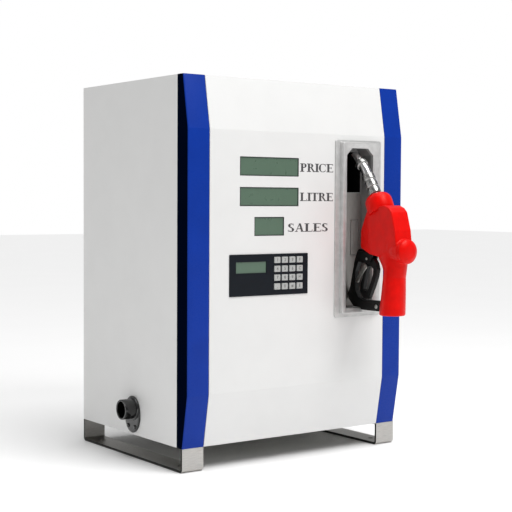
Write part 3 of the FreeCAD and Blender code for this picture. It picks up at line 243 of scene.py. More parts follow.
def enamel(name, tint, roughness=0.3, gloss=0.06):
    """Stoved enamel on steel: deep, glossy colour over slight orange peel."""
    tree, shader, place = surface(name, tint, roughness, Coat_Weight=gloss, Coat_Roughness=0.12,
                                  Specular_IOR_Level=2 * gloss)
    tinted(tree, noise(tree, place, 45 * MM), shader, shade(tint, 0.93), shade(tint, 1.04))
    grain = noise(tree, place, 1.4 * MM, 2.0)
    spread(tree, grain, roughness * 0.85, roughness * 1.15, shader.inputs["Roughness"])
    relief(tree, grain, shader, 0.02 * MM, 0.4)


def brushed_metal(name, tint, roughness=0.34, stretch=(0.03, 1, 1), streak=0.5):
    """Brushed stainless steel: fine parallel scratches, drawn 0.5 mm apart so that they show."""
    tree, shader, place = surface(name, tint, roughness, 1.0)
    lines = noise(tree, place, streak * MM, 4.0, stretch)
    tinted(tree, lines, shader, shade(tint, 0.72), shade(tint, 1.08))
    spread(tree, lines, roughness * 0.75, roughness * 1.3, shader.inputs["Roughness"])
    relief(tree, lines, shader, 0.03 * MM, 0.35)


def cast_alloy(name, tint, roughness=0.42, metallic=0.75):
    """Die-cast alloy under a thin silver lacquer: a fine sandy grain and cloudy brightness."""
    tree, shader, place = surface(name, tint, roughness, metallic)
    tinted(tree, noise(tree, place, 14 * MM), shader, shade(tint, 0.88), shade(tint, 1.05))
    grain = noise(tree, place, 0.7 * MM, 4.0)
    spread(tree, grain, roughness * 0.85, roughness * 1.2, shader.inputs["Roughness"])
    relief(tree, grain, shader, 0.05 * MM, 0.6)


def polished_chrome(name, tint, roughness=0.1):
    """Chrome plate on a drawn tube: sharp reflections, a little dulled by handling."""
    tree, shader, place = surface(name, tint, roughness, 1.0)
    smears = noise(tree, place, 9 * MM, 4.0)
    tinted(tree, smears, shader, shade(tint, 0.86), tint)
    spread(tree, smears, roughness * 0.6, roughness * 2.2, shader.inputs["Roughness"])
    relief(tree, noise(tree, place, 2.5 * MM), shader, 0.02 * MM, 0.3)


def moulded_plastic(name, tint, roughness=0.45, grain_size=0.6, height=0.04):
    """Moulded plastic with the fine spark-eroded grain of its tool."""
    tree, shader, place = surface(name, tint, roughness, IOR=1.5, Specular_IOR_Level=0.2)
    tinted(tree, noise(tree, place, 20 * MM), shader, shade(tint, 0.85), shade(tint, 1.12))
    grain = noise(tree, place, grain_size * MM, 3.0)
    spread(tree, grain, roughness * 0.8, roughness * 1.2, shader.inputs["Roughness"])
    relief(tree, grain, shader, height * MM, 0.6)


def dipped_vinyl(name, tint):
    """Dip-moulded vinyl jacket: saturated, smooth, with soft wide highlights and slight waviness."""
    tree, shader, place = surface(name, tint, 0.36, Specular_IOR_Level=0.3,
                                  Specular_Tint=(1, 0.3, 0.25, 1), Coat_Weight=0.03, Coat_Roughness=0.2)
    tinted(tree, noise(tree, place, 18 * MM), shader, shade(tint, 0.88), shade(tint, 1.05))
    waves = noise(tree, place, 5 * MM, 3.0)
    spread(tree, waves, 0.28, 0.44, shader.inputs["Roughness"])
    relief(tree, waves, shader, 0.12 * MM, 0.5)


def display_glass(name, tint):
    """Reflective liquid crystal glass, unlit: an even grey green under a glossy polariser."""
    tree, shader, place = surface(name, tint, 0.3, IOR=1.5, Coat_Weight=0.3, Coat_Roughness=0.1)
    tinted(tree, noise(tree, place, 30 * MM), shader, shade(tint, 0.98), shade(tint, 1.02))
    spread(tree, noise(tree, place, 12 * MM), 0.27, 0.33, shader.inputs["Roughness"])


def moulded_rubber(name, tint, roughness=0.6):
    """Moulded silicone or neoprene: matt, with a dusty sheen at grazing angles."""
    tree, shader, place = surface(name, tint, roughness, IOR=1.43, Sheen_Weight=0.15, Sheen_Roughness=0.5)
    tinted(tree, noise(tree, place, 8 * MM), shader, shade(tint, 0.9), shade(tint, 1.06))
    grain = noise(tree, place, 0.35 * MM)
    spread(tree, grain, roughness * 0.85, roughness * 1.1, shader.inputs["Roughness"])
    relief(tree, grain, shader, 0.03 * MM, 0.5)


def painted_iron(name, tint):
    """Sprayed iron casting: coarse sand texture under half-gloss paint."""
    tree, shader, place = surface(name, tint, 0.5, Coat_Weight=0.2, Coat_Roughness=0.4)
    sand = noise(tree, place, 1.2 * MM, 5.0)
    tinted(tree, sand, shader, shade(tint, 0.8), shade(tint, 1.1))
    spread(tree, sand, 0.42, 0.62, shader.inputs["Roughness"])
    relief(tree, sand, shader, 0.15 * MM, 0.7)


def circuit_board(name, tint):
    """Solder mask over copper tracks: green lacquer with slightly raised lighter lines."""
    tree, shader, place = surface(name, tint, 0.4, Coat_Weight=0.4, Coat_Roughness=0.2)
    bricks = node(tree, "TexBrick", {"Scale": 1 / (30 * MM), "Mortar Size": 0.03}, {"Vector": place})
    tracks = bricks.outputs["Fac"]
    tinted(tree, tracks, shader, tint, shade(tint, 1.8), 0.2, 0.8)
    relief(tree, tracks, shader, 0.04 * MM)


def printing_ink(name, tint):
    """Screen-printing ink: a thin matt film with slightly uneven cover."""
    tree, shader, place = surface(name, tint, 0.55)
    tinted(tree, noise(tree, place, 2 * MM), shader, shade(tint, 0.85), shade(tint, 1.15))


def make_materials():
    """All finishes, named for what the real surfaces are or for the painted light and shade that they carry."""
    tints = bpy.context.scene.dispenser_colours
    powder_coat("white powder coat", tints.white, 0.36)
    # The cabinet's white made 1.17 times lighter: painted light on the side and top panels and the rear door,
    # which have the same powder coat as the front.
    powder_coat("satin powder coat", shade(tints.white, 1.17), 0.5)
    enamel("blue enamel", tints.blue)
    enamel("navy enamel", tints.navy, 0.5, 0)
    brushed_metal("brushed stainless", tints.stainless)
    brushed_metal("brushed wear plate", shade(tints.stainless, 0.85), 0.42, (1, 1, 0.03))
    brushed_metal("zinc plated steel", linear("#a9a9a4"), 0.4, (0.2, 0.2, 1), 0.9)
    # A near-black copy of the stainless: painted shade on the side faces of the skids' bar.
    brushed_metal("painted shade stainless", linear("#3c3c3a"), 0.5)
    cast_alloy("lacquered casting", tints.casting, 0.4, 0.45)
    cast_alloy("shaded casting", shade(tints.casting, 0.5), 0.5, 0.3)
    cast_alloy("plain casting", linear("#8f9194"), 0.5, 0.85)
    polished_chrome("chromed tube", linear("#d6d6d6"))
    polished_chrome("chromed spring", linear("#a3a3a1"), 0.2)
    polished_chrome("chromed lock", linear("#c9c9c9"), 0.16)
    moulded_plastic("black nylon", linear("#0b0c0c"), 0.4)
    moulded_plastic("black socket plastic", linear("#070707"), 0.6)
    moulded_plastic("keypad plastic", tints.keypad, 0.42, 0.5, 0.03)
    moulded_plastic("rim plastic", linear("#2c3030"), 0.4)
    dipped_vinyl("red vinyl", tints.red)
    display_glass("display glass", tints.screen)
    moulded_rubber("silicone key", tints.key)
    moulded_rubber("belt neoprene", linear("#151515"), 0.7)
    enamel("gloss black pipe enamel", linear("#060606"), 0.16, 0.3)
    painted_iron("grey painted iron", linear("#5b6166"))
    circuit_board("green circuit board", linear("#0d4a2a"))
    printing_ink("printing ink", tints.ink)
    printing_ink("dark key print", linear("#2a2c2d"))


# ---------------------------------------------------------------- mesh building

def placed(name, data):
    """An object in the scene."""
    made = bpy.data.objects.new(name, data)
    bpy.context.scene.collection.objects.link(made)
    return made


def soften(points, radius, steps=5):
    """Round the corners of an outline. The radius is one number, or one for each corner."""
    result = []
    for index, corner in enumerate(points):
        bend = radius[index] if isinstance(radius, (list, tuple)) else radius
        before = Vector(points[index - 1]) - Vector(corner)
        after = Vector(points[(index + 1) % len(points)]) - Vector(corner)
        turn = math.pi - before.angle(after)
        reach = min(bend * math.tan(turn / 2), 0.49 * before.length, 0.49 * after.length)
        if reach < 1e-6:
            result.append(tuple(corner))
            continue
        bend = reach / math.tan(turn / 2)
        towards = (before.normalized() + after.normalized()).normalized()
        centre = Vector(corner) + towards * (bend / math.cos(turn / 2))
        start = Vector(corner) + before.normalized() * reach - centre
        end = Vector(corner) + after.normalized() * reach - centre
        first = start.normalized()
        second = (end - first * end.dot(first)).normalized()
        for step in range(steps + 1):
            angle = turn * (step / steps)
            result.append(tuple(centre + (first * math.cos(angle) + second * math.sin(angle)) * bend))
    return result


def box_outline(low, high):
    """Four corners of a rectangle."""
    return [(low[0], low[1]), (high[0], low[1]), (high[0], high[1]), (low[0], high[1])]


def facing(low, high, grow=0.0, corner=0.0, steps=5):
    """A box's outline from the front, grown on each side, with rounded corners."""
    return soften(box_outline((low.x - grow, low.z - grow), (high.x + grow, high.z + grow)), corner, steps)


def oval(centre, wide, tall, steps=64):
    """Points round an oval, as pairs."""
    turns = [2 * math.pi * step / steps for step in range(steps)]
    return [(centre[0] + wide * math.cos(turn), centre[1] + tall * math.sin(turn)) for turn in turns]


def loft(mesh, rings, capped=True, looped=False):
    """Join rings of points, each with the same number, into a skin, with its ends capped or joined."""
    rows = [[mesh.verts.new(point) for point in ring] for ring in rings]
    if looped:
        rows.append(rows[0])
    for lower, upper in zip(rows, rows[1:]):
        for index in range(len(lower)):
            after = (index + 1) % len(lower)
            mesh.faces.new((lower[index], lower[after], upper[after], upper[index]))
    if capped and not looped:
        mesh.faces.new(list(reversed(rows[0])))
        mesh.faces.new(rows[-1])


def slab(mesh, outline, axis, low, high):
    """An outline on the two other axes, thickened along one axis."""
    place = "xyz".index(axis)
    loft(mesh, [[(*pair[:place], depth, *pair[place:]) for pair in outline] for depth in (low, high)])


def turned(mesh, profile, start, direction, steps=48):
    """A solid of revolution. The profile gives (distance along the axis, radius), and is hollow if it
    ends where it starts."""
    spin = Vector(direction).to_track_quat("Z", "Y").to_matrix()
    rings = [[Vector(start) + spin @ Vector((a, b, distance)) for a, b in oval((0, 0), radius, radius, steps)]
             for distance, radius in profile]
    hollow = (Vector(profile[0]) - Vector(profile[-1])).length < 1e-9
    loft(mesh, rings[:-1] if hollow else rings, looped=hollow)


def cylinder(mesh, radius, start, end, steps=48):
    """A plain cutter or shank between two points."""
    way = Vector(end) - Vector(start)
    turned(mesh, [(0, radius), (way.length, radius)], start, way, steps)


def round_edges(piece, width, segments):
    """Bevel the edges of a piece that turn by more than 30 degrees."""
    edge = piece.modifiers.new("rounded edges", "BEVEL")
    edge.width = width
    edge.segments = segments
    edge.limit_method = "ANGLE"
    edge.angle_limit = math.radians(30)
    edge.harden_normals = True


def finish_mesh(name, mesh, finishes, body, replaces=(), bevel=0.0, segments=3, angle=35):
    """Make the object, round its edges, shade it, and tie it to its body."""
    bmesh.ops.remove_doubles(mesh, verts=mesh.verts, dist=1e-7)
    bmesh.ops.recalc_face_normals(mesh, faces=mesh.faces)
    data = bpy.data.meshes.new(name)
    mesh.to_mesh(data)
    mesh.free()
    for finish in ([finishes] if isinstance(finishes, str) else finishes):
        data.materials.append(materials[finish])
    data.shade_smooth()
    data.set_sharp_from_angle(angle=math.radians(angle))
    piece = placed(name, data)
    if bevel:
        round_edges(piece, bevel, segments)
    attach(piece, body)
    if replaces:
        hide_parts(*replaces)
    return piece


def settle(piece):
    """Apply a piece's modifiers to its mesh."""
    graph = bpy.context.evaluated_depsgraph_get()
    graph.update()
    data = bpy.data.meshes.new_from_object(piece.evaluated_get(graph))
    piece.modifiers.clear()
    piece.data = data


def carve(piece, cutter_mesh):
    """Cut solids out of a piece, whose edges are rounded after that."""
    bevels = [(modifier.width, modifier.segments) for modifier in piece.modifiers]
    piece.modifiers.clear()
    data = bpy.data.meshes.new("cutter")
    bmesh.ops.recalc_face_normals(cutter_mesh, faces=cutter_mesh.faces)
    cutter_mesh.to_mesh(data)
    cutter_mesh.free()
    cutter = placed("cutter", data)
    hole = piece.modifiers.new("holes", "BOOLEAN")
    hole.object = cutter
    hole.operation = "DIFFERENCE"
    hole.solver = "EXACT"
    settle(piece)
    bpy.data.objects.remove(cutter)
    for width, segments in bevels:
        round_edges(piece, width, segments)
    piece.data.shade_smooth()
    piece.data.set_sharp_from_angle(angle=math.radians(35))


# ---------------------------------------------------------------- cabinet

def front_stations():
    """(y, z) up the front's side view, with each bend as an arc."""
    sizes = bpy.context.scene.dispenser_sizes
    edge = FRONT + sizes.bulge
    path = [(edge, BASE), (FRONT, BASE + sizes.slope), (FRONT, TOP - sizes.slope), (edge, TOP)]
    return soften(path, [0, 6 * MM, 6 * MM, 0], 6)


def fold_up(mesh, section, slots=()):
    """Carry a section of (x, offset behind the front) points up the front's side view. An offset of None
    stays on the side panel's front edge."""
    rings = [[(x, SIDE_FRONT if offset is None else y + offset, z) for x, offset in section]
             for y, z in front_stations()]
    loft(mesh, rings)
    mesh.faces.ensure_lookup_table()
    for row in range(len(rings) - 1):
        for index, slot in enumerate(slots):
            mesh.faces[row * len(section) + index].material_index = slot


def make_front():
    """The white front sheet, folded over its slopes, with openings for what it carries."""
    half = -TRIM_INSIDE - bpy.context.scene.dispenser_sizes.seam
    edge = 0.6 * MM
    mesh = bmesh.new()
    fold_up(mesh, [(-half, edge), (-half + edge, 0), (half - edge, 0), (half, edge), (half, SHEET),
                   (-half, SHEET)])
    panel = finish_mesh("front_skin", mesh, "white powder coat", "cabinet", ["front_panel"])
    openings = [(*corners, 1.6 * MM) for corners in window_boxes()]
    openings += [(*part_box("keypad_board"), 0), (*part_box("boot_pocket"), 0.6 * MM)]
    cutter = bmesh.new()
    for low, high, grow in openings:
        slab(cutter, facing(low, high, grow), "y", FRONT - 10 * MM, FRONT + 10 * MM)
    carve(panel, cutter)


def make_trims():
    """The two folded trims at the front corners, blue in front and navy on the returns."""
    bend = bpy.context.scene.dispenser_sizes.fold
    edge, deep = 0.8 * MM, 3 * SHEET
    for side, way in (("left", -1), ("right", 1)):
        outer = way * abs(SIDE)
        inner = way * abs(TRIM_INSIDE)
        section = [(outer, None), (outer, bend)]
        for step in range(1, 6):
            angle = math.pi / 2 * step / 6
            section.append((outer - way * bend * (1 - math.cos(angle)), bend * (1 - math.sin(angle))))
        section += [(outer - way * bend, 0), (inner + way * edge, 0), (inner, edge), (inner, deep)]
        section += [(inner + way * SHEET, deep), (inner + way * SHEET, SHEET), (outer - way * SHEET, SHEET),
                    (outer - way * SHEET, None)]
        mesh = bmesh.new()
        fold_up(mesh, section, [1, 1, 1] + [0] * (len(section) - 3))
        finish_mesh(f"{side}_trim", mesh, ["blue enamel", "navy enamel"], "cabinet", [f"{side}_corner_trim"])


def sheet_panel(name, low, high, replaces, holes=None):
    """A flat panel with softly folded edges."""
    mesh = bmesh.new()
    slab(mesh, box_outline(low[:2], high[:2]), "z", low[2], high[2])
    panel = finish_mesh(name, mesh, "satin powder coat", "cabinet", [replaces], 0.7 * MM)
    if holes:
        carve(panel, holes)


def side_hole(radius, x, centre):
    """A round cutter through a side panel."""
    holes = bmesh.new()
    cylinder(holes, radius, (x - 0.01, centre.y, centre.z), (x + 0.01, centre.y, centre.z))
    return holes


def make_panels():
    """The side and top sheets, and the tab that the door's lock catches."""
    low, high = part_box("left_side_panel")
    sheet_panel("left_side_skin", low, (low.x + SHEET, high.y, high.z), "left_side_panel",
                side_hole(18.4 * MM, SIDE, middle("port_stub")))
    lock = middle("door_lock").z
    strike = soften(box_outline((low.x + SHEET * 0.5, lock - 15 * MM), (high.x, lock + 15 * MM)), 2 * MM)
    tab = bmesh.new()
    slab(tab, strike, "y", BACK - 7 * MM, BACK - 5 * MM)
    finish_mesh("lock_strike_tab", tab, "zinc plated steel", "cabinet", bevel=0.4 * MM)
    low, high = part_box("right_side_panel")
    sheet_panel("right_side_skin", low, high, "right_side_panel",
                side_hole(13.6 * MM, -SIDE, middle("hose_outlet")))
    sheet_panel("top_skin", *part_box("top_panel"), "top_panel")


def make_door():
    """The hinged rear door: skin, pivot lugs, and two columns of pressed louvres."""
    low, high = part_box("rear_door")
    pivot = middle("door_pivots")
    lock_x, lock_z = middle("door_lock").x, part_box("door_lock")[0].z + 12 * MM
    plate_front, behind = high.y - SHEET, high.y + 0.01
    mesh = bmesh.new()
    slab(mesh, facing(low, high, corner=2 * MM), "y", plate_front, high.y)
    door = finish_mesh("door_skin", mesh, "satin powder coat", "rear_door", ["rear_door"],
                       0.5 * MM, 2)
    holes, hoods = bmesh.new(), bmesh.new()
    cylinder(holes, 9.3 * MM, (lock_x, low.y, lock_z), (lock_x, behind, lock_z), 32)
    louvre_top, louvre_step, louvre_half = TOP - 80 * MM, 14 * MM, 45 * MM
    for column in (-110 * MM, 110 * MM):
        for line in range(6):
            level = louvre_top - line * louvre_step
            slit = box_outline((column - louvre_half, level), (column + louvre_half, level + 4 * MM))
            slab(holes, soften(slit, 1.9 * MM), "y", low.y, behind)
            rings = []
            for share, depth in ((-1, 0), (-0.96, 2.2), (0.96, 2.2), (1, 0)):
                x = column + share * (louvre_half + 1 * MM)
                reach = plate_front - 0.05 * MM - depth * MM
                hood = ((plate_front, 5.5), (reach, 4.5), (reach, 3.7), (plate_front, 4.6))
                rings.append([(x, y, level + up * MM) for y, up in hood])
            loft(hoods, rings)
    carve(door, holes)
    lugs = bmesh.new()
    lug = soften(box_outline((pivot.x - 12 * MM, pivot.y - 7 * MM), (pivot.x + 8 * MM, plate_front)), 2 * MM)
    for bottom in (low.z, high.z - 4 * MM):
        slab(lugs, lug, "z", bottom, bottom + 4 * MM)
    lug_piece = finish_mesh("door_lugs", lugs, "zinc plated steel", "rear_door", bevel=0.4 * MM)
    bores = bmesh.new()
    cylinder(bores, 4.05 * MM, (pivot.x, pivot.y, low.z - 0.01), (pivot.x, pivot.y, high.z + 0.01), 32)
    carve(lug_piece, bores)
    finish_mesh("door_louvre_hoods", hoods, "satin powder coat", "rear_door")


def make_skids():
    """Two feet of flat bar bent up at both ends, with tabs under the cabinet."""
    sizes = bpy.context.scene.dispenser_sizes
    thick, bend, top = sizes.bar, sizes.bar_bend, BASE - 0.05 * MM
    for side, way in (("left", -1), ("right", 1)):
        low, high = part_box(f"{side}_skid")
        outside = [(low.y, top), (low.y, 0), (high.y, 0), (high.y, top)]
        inside = [(low.y + thick, top), (low.y + thick, thick), (high.y - thick, thick), (high.y - thick, top)]
        outline = soften(outside, [0, bend, bend, 0], 7)
        outline += reversed(soften(inside, [0, bend - thick, bend - thick, 0], 7))
        mesh = bmesh.new()
        slab(mesh, outline, "x", low.x, high.x)
        # The bar's two side faces take the near-black stainless, which is painted shade.
        mesh.faces.ensure_lookup_table()
        for face in mesh.faces[-2:]:
            face.material_index = 1
        skid = finish_mesh(f"{side}_skid_bar", mesh, ["brushed stainless", "painted shade stainless"], "cabinet",
                           [f"{side}_skid"], 0.6 * MM)
        holes = bmesh.new()
        for y in (-ANCHOR_Y, ANCHOR_Y):
            cylinder(holes, 5.5 * MM, (way * ANCHOR_X, y, -0.01), (way * ANCHOR_X, y, 0.02), 32)
        carve(skid, holes)
        tabs = bmesh.new()
        left, right = (low.x + 3 * MM, high.x) if side == "left" else (low.x, high.x - 3 * MM)
        for start, end in ((low.y + 2 * MM, low.y + 48 * MM), (high.y - 48 * MM, high.y - 1 * MM)):
            slab(tabs, soften(box_outline((left, start), (right, end)), 3 * MM), "z", BASE, BASE + 4 * MM)
        finish_mesh(f"{side}_skid_tabs", tabs, "brushed stainless", "cabinet",
                    bevel=0.4 * MM)


# ---------------------------------------------------------------- displays, words and keypad

def window_boxes():
    """Low and high corners of the three display windows, from the top down."""
    low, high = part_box("display_rims")
    rim = 1.6 * MM
    places = [(low.x + rim, high.z - rim - WINDOW_TALL, WINDOW_WIDE),
              (low.x + rim, high.z - rim - WINDOW_STEP - WINDOW_TALL, WINDOW_WIDE),
              (SHORT_WINDOW_LEFT, low.z + rim, SHORT_WINDOW_WIDE)]
    return [(Vector((left, FRONT, foot)), Vector((left + wide, FRONT, foot + WINDOW_TALL)))
            for left, foot, wide in places]


def make_displays():
    """Rims and glass of the three windows, and the keypad's small screen."""
    rims, screens = bmesh.new(), bmesh.new()
    grow = 1.5 * MM
    for low, high in window_boxes():
        rings = []
        for shrink, depth in ((0.1, 2.5), (0, 0.2), (0.25, -0.35), (1.0, -0.35), (1.5, 0.2), (1.5, 2.5)):
            ring = facing(low, high, grow - shrink * MM, max(0.2, 1.2 - shrink * 0.6) * MM, 3)
            rings.append([(x, FRONT + depth * MM, z) for x, z in ring])
        loft(rims, rings, capped=False)
        slab(screens, facing(low, high, grow), "y", FRONT + 1.2 * MM, FRONT + 2.8 * MM)
    slab(screens, box_outline(*KEYPAD_SCREEN), "y", FRONT, FRONT + 2 * MM)
    finish_mesh("window_rims", rims, "rim plastic", "cabinet", ["display_rims"])
    finish_mesh("window_glass", screens, "display glass", "cabinet", ["display_windows"])


def arc_band(centre, size, stroke, start, end, thin=0.45, steps=14):
    """A curved stroke of a letter, thin at the top and bottom and thick at the side."""
    outer, inner = [], []
    for step in range(steps + 1):
        angle = math.radians(start + (end - start) * step / steps)
        width = stroke * (thin + (1 - thin) * abs(math.cos(angle)) ** 1.5)
        outer.append((centre[0] + size[0] * math.cos(angle), centre[1] + size[1] * math.sin(angle)))
        inner.append((centre[0] + (size[0] - width) * math.cos(angle),
                      centre[1] + (size[1] - thin * stroke) * math.sin(angle)))
    return outer + list(reversed(inner))


def bar(x0, y0, x1, y1):
    """An upright rectangle in a letter."""
    return box_outline((x0, y0), (x1, y1))


def slant(x0, y0, x1, y1, width):
    """A slanting stroke of a letter."""
    return [(x0, y0), (x0 + width, y0), (x1 + width, y1), (x1, y1)]


# Widths of a letter's strokes and serifs, as shares of its height.
THICK, THIN, SERIF = 0.19, 0.085, 0.38


def stem(x, head=True):
    """A thick upright with serifs, its left side at x, one capital high."""
    side = (SERIF - THICK) / 2
    parts = [bar(x, 0, x + THICK, 1), bar(x - side, 0, x + THICK + side, THIN)]
    if head:
        parts.append(bar(x - side, 1 - THIN, x + THICK + side, 1))
    return parts


LETTERS = {
    "P": (0.62, stem(0.1) + [bar(0.22, 1 - THIN, 0.36, 1), bar(0.22, 0.46, 0.36, 0.46 + THIN),
                             arc_band((0.34, 0.73), (0.26, 0.27), THICK, -90, 90)]),
    "R": (0.74, stem(0.1) + [bar(0.22, 1 - THIN, 0.36, 1), bar(0.22, 0.48, 0.36, 0.48 + THIN),
                             arc_band((0.34, 0.74), (0.25, 0.26), THICK, -90, 90),
                             slant(0.58, 0, 0.33, 0.5, 0.16), bar(0.56, 0, 0.78, THIN)]),
    "I": (0.34, stem(0.1)),
    "C": (0.72, [arc_band((0.4, 0.5), (0.38, 0.51), THICK, 48, 312, 0.4, 24), bar(0.63, 0.68, 0.67, 1.0),
                 bar(0.63, 0.1, 0.66, 0.3)]),
    "E": (0.68, stem(0.1) + [bar(0.22, 1 - THIN, 0.62, 1), bar(0.22, 0, 0.64, THIN),
                             bar(0.22, 0.48, 0.48, 0.48 + THIN), bar(0.58, 0.8, 0.62, 1),
                             bar(0.61, 0, 0.65, 0.22), bar(0.46, 0.4, 0.5, 0.62)]),
    "L": (0.66, stem(0.1) + [bar(0.22, 0, 0.62, THIN), bar(0.59, 0, 0.63, 0.26)]),
    "T": (0.68, stem(0.27, head=False) + [bar(0.02, 1 - THIN, 0.66, 1), bar(0.02, 0.78, 0.06, 1),
                                          bar(0.62, 0.78, 0.66, 1)]),
    "S": (0.56, [arc_band((0.27, 0.74), (0.22, 0.26), THICK, 40, 235, 0.5, 14),
                 arc_band((0.27, 0.26), (0.24, 0.26), THICK, -145, 55, 0.5, 14),
                 [(0.09, 0.6), (0.2, 0.66), (0.46, 0.42), (0.38, 0.34)], bar(0.42, 0.74, 0.46, 0.98),
                 bar(0.04, 0.02, 0.08, 0.26)]),
    "A": (0.74, [slant(0.08, 0.02, 0.34, 1, 0.055), slant(0.5, 0.02, 0.3, 1, 0.16),
                 bar(0.2, 0.32, 0.52, 0.32 + THIN), bar(0.0, 0, 0.22, THIN), bar(0.46, 0, 0.74, THIN)]),
}


def make_words():
    """Plain words for what each window shows, printed beside it in a serif capital."""
    sizes = bpy.context.scene.dispenser_sizes
    # Each word, its left and lower edges, and its width.
    places = (("PRICE", -4 * MM, 569 * MM, 85 * MM), ("LITRE", -4 * MM, 511.5 * MM, 85 * MM),
              ("SALES", -34 * MM, 451 * MM, 103 * MM))
    mesh = bmesh.new()
    for word, x, low, wide in places:
        step = wide / sum(LETTERS[letter][0] for letter in word)
        for letter in word:
            advance, strokes = LETTERS[letter]
            for order, stroke in enumerate(strokes):
                # Each stroke is a hair higher than the last, so that crossing strokes don't share a face.
                top = FRONT - (0.06 + 0.004 * order) * MM
                points = [(x + px * step, low + pz * sizes.capital) for px, pz in stroke]
                slab(mesh, points, "y", FRONT + 0.2 * MM, top)
            x += advance * step
    finish_mesh("window_words", mesh, "printing ink", "cabinet", angle=60)


def print_figure(key, label):
    """A key's figure, as a thin raised film that moves with the key."""
    low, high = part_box(key)
    name = key.replace("key_", "key_print_")
    text = bpy.data.curves.new(name, "FONT")
    text.body = label
    text.size = bpy.context.scene.dispenser_sizes.digit * 1.4
    text.align_x = "CENTER"
    text.align_y = "CENTER"
    text.extrude = 0.04 * MM
    text.resolution_u = 3
    lettered = placed("text", text)
    bpy.context.view_layer.update()
    data = bpy.data.meshes.new_from_object(lettered.evaluated_get(bpy.context.evaluated_depsgraph_get()))
    bpy.data.objects.remove(lettered)
    centre = (low + high) / 2
    upright = Matrix.Rotation(math.pi / 2, 4, "X")
    data.transform(Matrix.Translation((centre.x, low.y - 0.01 * MM, centre.z)) @ upright)
    data.materials.clear()
    data.materials.append(materials["dark key print"])
    printed = placed(name, data)
    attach(printed, key)


def make_keypad():
    """The keypad's bezel and its sixteen keys."""
    face = bmesh.new()
    slab(face, facing(*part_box("keypad_bezel"), corner=1.5 * MM), "y", FRONT - 1.5 * MM, FRONT + 3 * MM)
    bezel = finish_mesh("keypad_face", face, "keypad plastic", "cabinet", ["keypad_bezel"],
                        0.5 * MM)
    keys = {f"key_{place:02d}": label for place, label in enumerate("123F456C789M.0#E", start=1)}
    holes = bmesh.new()
    for outline in [box_outline(*KEYPAD_SCREEN)] + [facing(*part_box(key), -0.6 * MM, 1 * MM, 3) for key in keys]:
        slab(holes, outline, "y", FRONT - 5 * MM, FRONT + 6 * MM)
    carve(bezel, holes)
    foot = FRONT + 3.8 * MM
    for key, label in keys.items():
        low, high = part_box(key)
        mesh = bmesh.new()
        slab(mesh, facing(low, high, -1 * MM, 1.2 * MM, 4), "y", low.y, foot)
        slab(mesh, facing(low, high), "y", foot, high.y)
        finish_mesh(key.replace("key_", "key_cap_"), mesh, "silicone key", key, [key],
                    0.7 * MM, 4)
        print_figure(key, label)


# ---------------------------------------------------------------- nozzle boot

def mouth_ring(wide, low, high, lower, upper, centre, y, bevelled=False):
    """A ring round the boot, with the radius of its lower corners and of its upper ones, or with upper
    corners that are straight bevels of as many points."""
    steps = 5
    half = wide / 2
    outline = box_outline((centre - half, low), (centre + half, high))
    points = soften(outline, [lower, lower, upper, upper], steps)
    if bevelled:
        ends = [((centre + half, high - upper), (centre + half - upper, high)),
                ((centre - half + upper, high), (centre - half, high - upper))]
        del points[2 * (steps + 1):]
        for start, end in ends:
            points += [tuple(Vector(start).lerp(Vector(end), step / steps)) for step in range(steps + 1)]
    return [(x, y, z) for x, z in points]


def make_boot():
    """The cast frame round the nozzle's pocket: a flat flange, a raised frame and its inner wall."""
    sizes = bpy.context.scene.dispenser_sizes
    low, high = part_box("boot_bezel")
    pocket_low, pocket_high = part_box("boot_pocket")
    centre = (low.x + high.x) / 2
    wide = high.x - low.x
    mouth_wide = pocket_high.x - pocket_low.x - 4 * MM
    mouth_low, mouth_high = pocket_low.z + 2 * MM, pocket_high.z - 2 * MM
    crest = low.y
    edge = FRONT - sizes.flange_thick
    # The raised frame stands 11.75 mm inside the flange's sides, 7.2 mm above its foot and 4 mm below its top.
    raised_wide, raised_low, raised_high = wide - 23.5 * MM, low.z + 7.2 * MM, high.z - 4 * MM
    rings = []
    for inset, y, corner in ((0.2, FRONT, 5), (0, FRONT - 0.4 * MM, 5), (0, edge + 0.8 * MM, 5),
                             (0.7, edge, 4.5)):
        rings.append(mouth_ring(wide - 2 * inset * MM, low.z + inset * MM, high.z - inset * MM, corner * MM,
                                corner * MM, centre, y))
    for inset, y, corner in ((-0.5, edge, 3), (-0.1, edge - 0.5 * MM, 3), (0.7, crest + 0.7 * MM, 3.5),
                             (1.0, crest + 0.2 * MM, 3.5), (1.7, crest, 3.5), (4.0, crest, 3.5),
                             (4.7, crest + 0.15 * MM, 3.5), (6.3, crest + 0.5 * MM, 4)):
        rounder, share = (0, 1) if inset < 3 else (3, 0.75)
        rings.append(mouth_ring(raised_wide - 2 * inset * MM, raised_low + inset * share * MM,
                                raised_high - inset * share * MM, corner * MM, (corner + rounder) * MM,
                                centre, y))
    for grow, y in ((0.6, crest + 4.4 * MM), (0.1, crest + 5 * MM), (0, crest + 5.8 * MM),
                    (0, FRONT + 0.5 * MM)):
        rings.append(mouth_ring(mouth_wide + 2 * grow * MM, mouth_low - grow * MM, mouth_high + grow * MM,
                                3 * MM, sizes.mouth_corner, centre, y, bevelled=True))
    mesh = bmesh.new()
    loft(mesh, rings, capped=False)
    finish_mesh("boot_frame", mesh, "lacquered casting", "cabinet", ["boot_bezel"], angle=28)


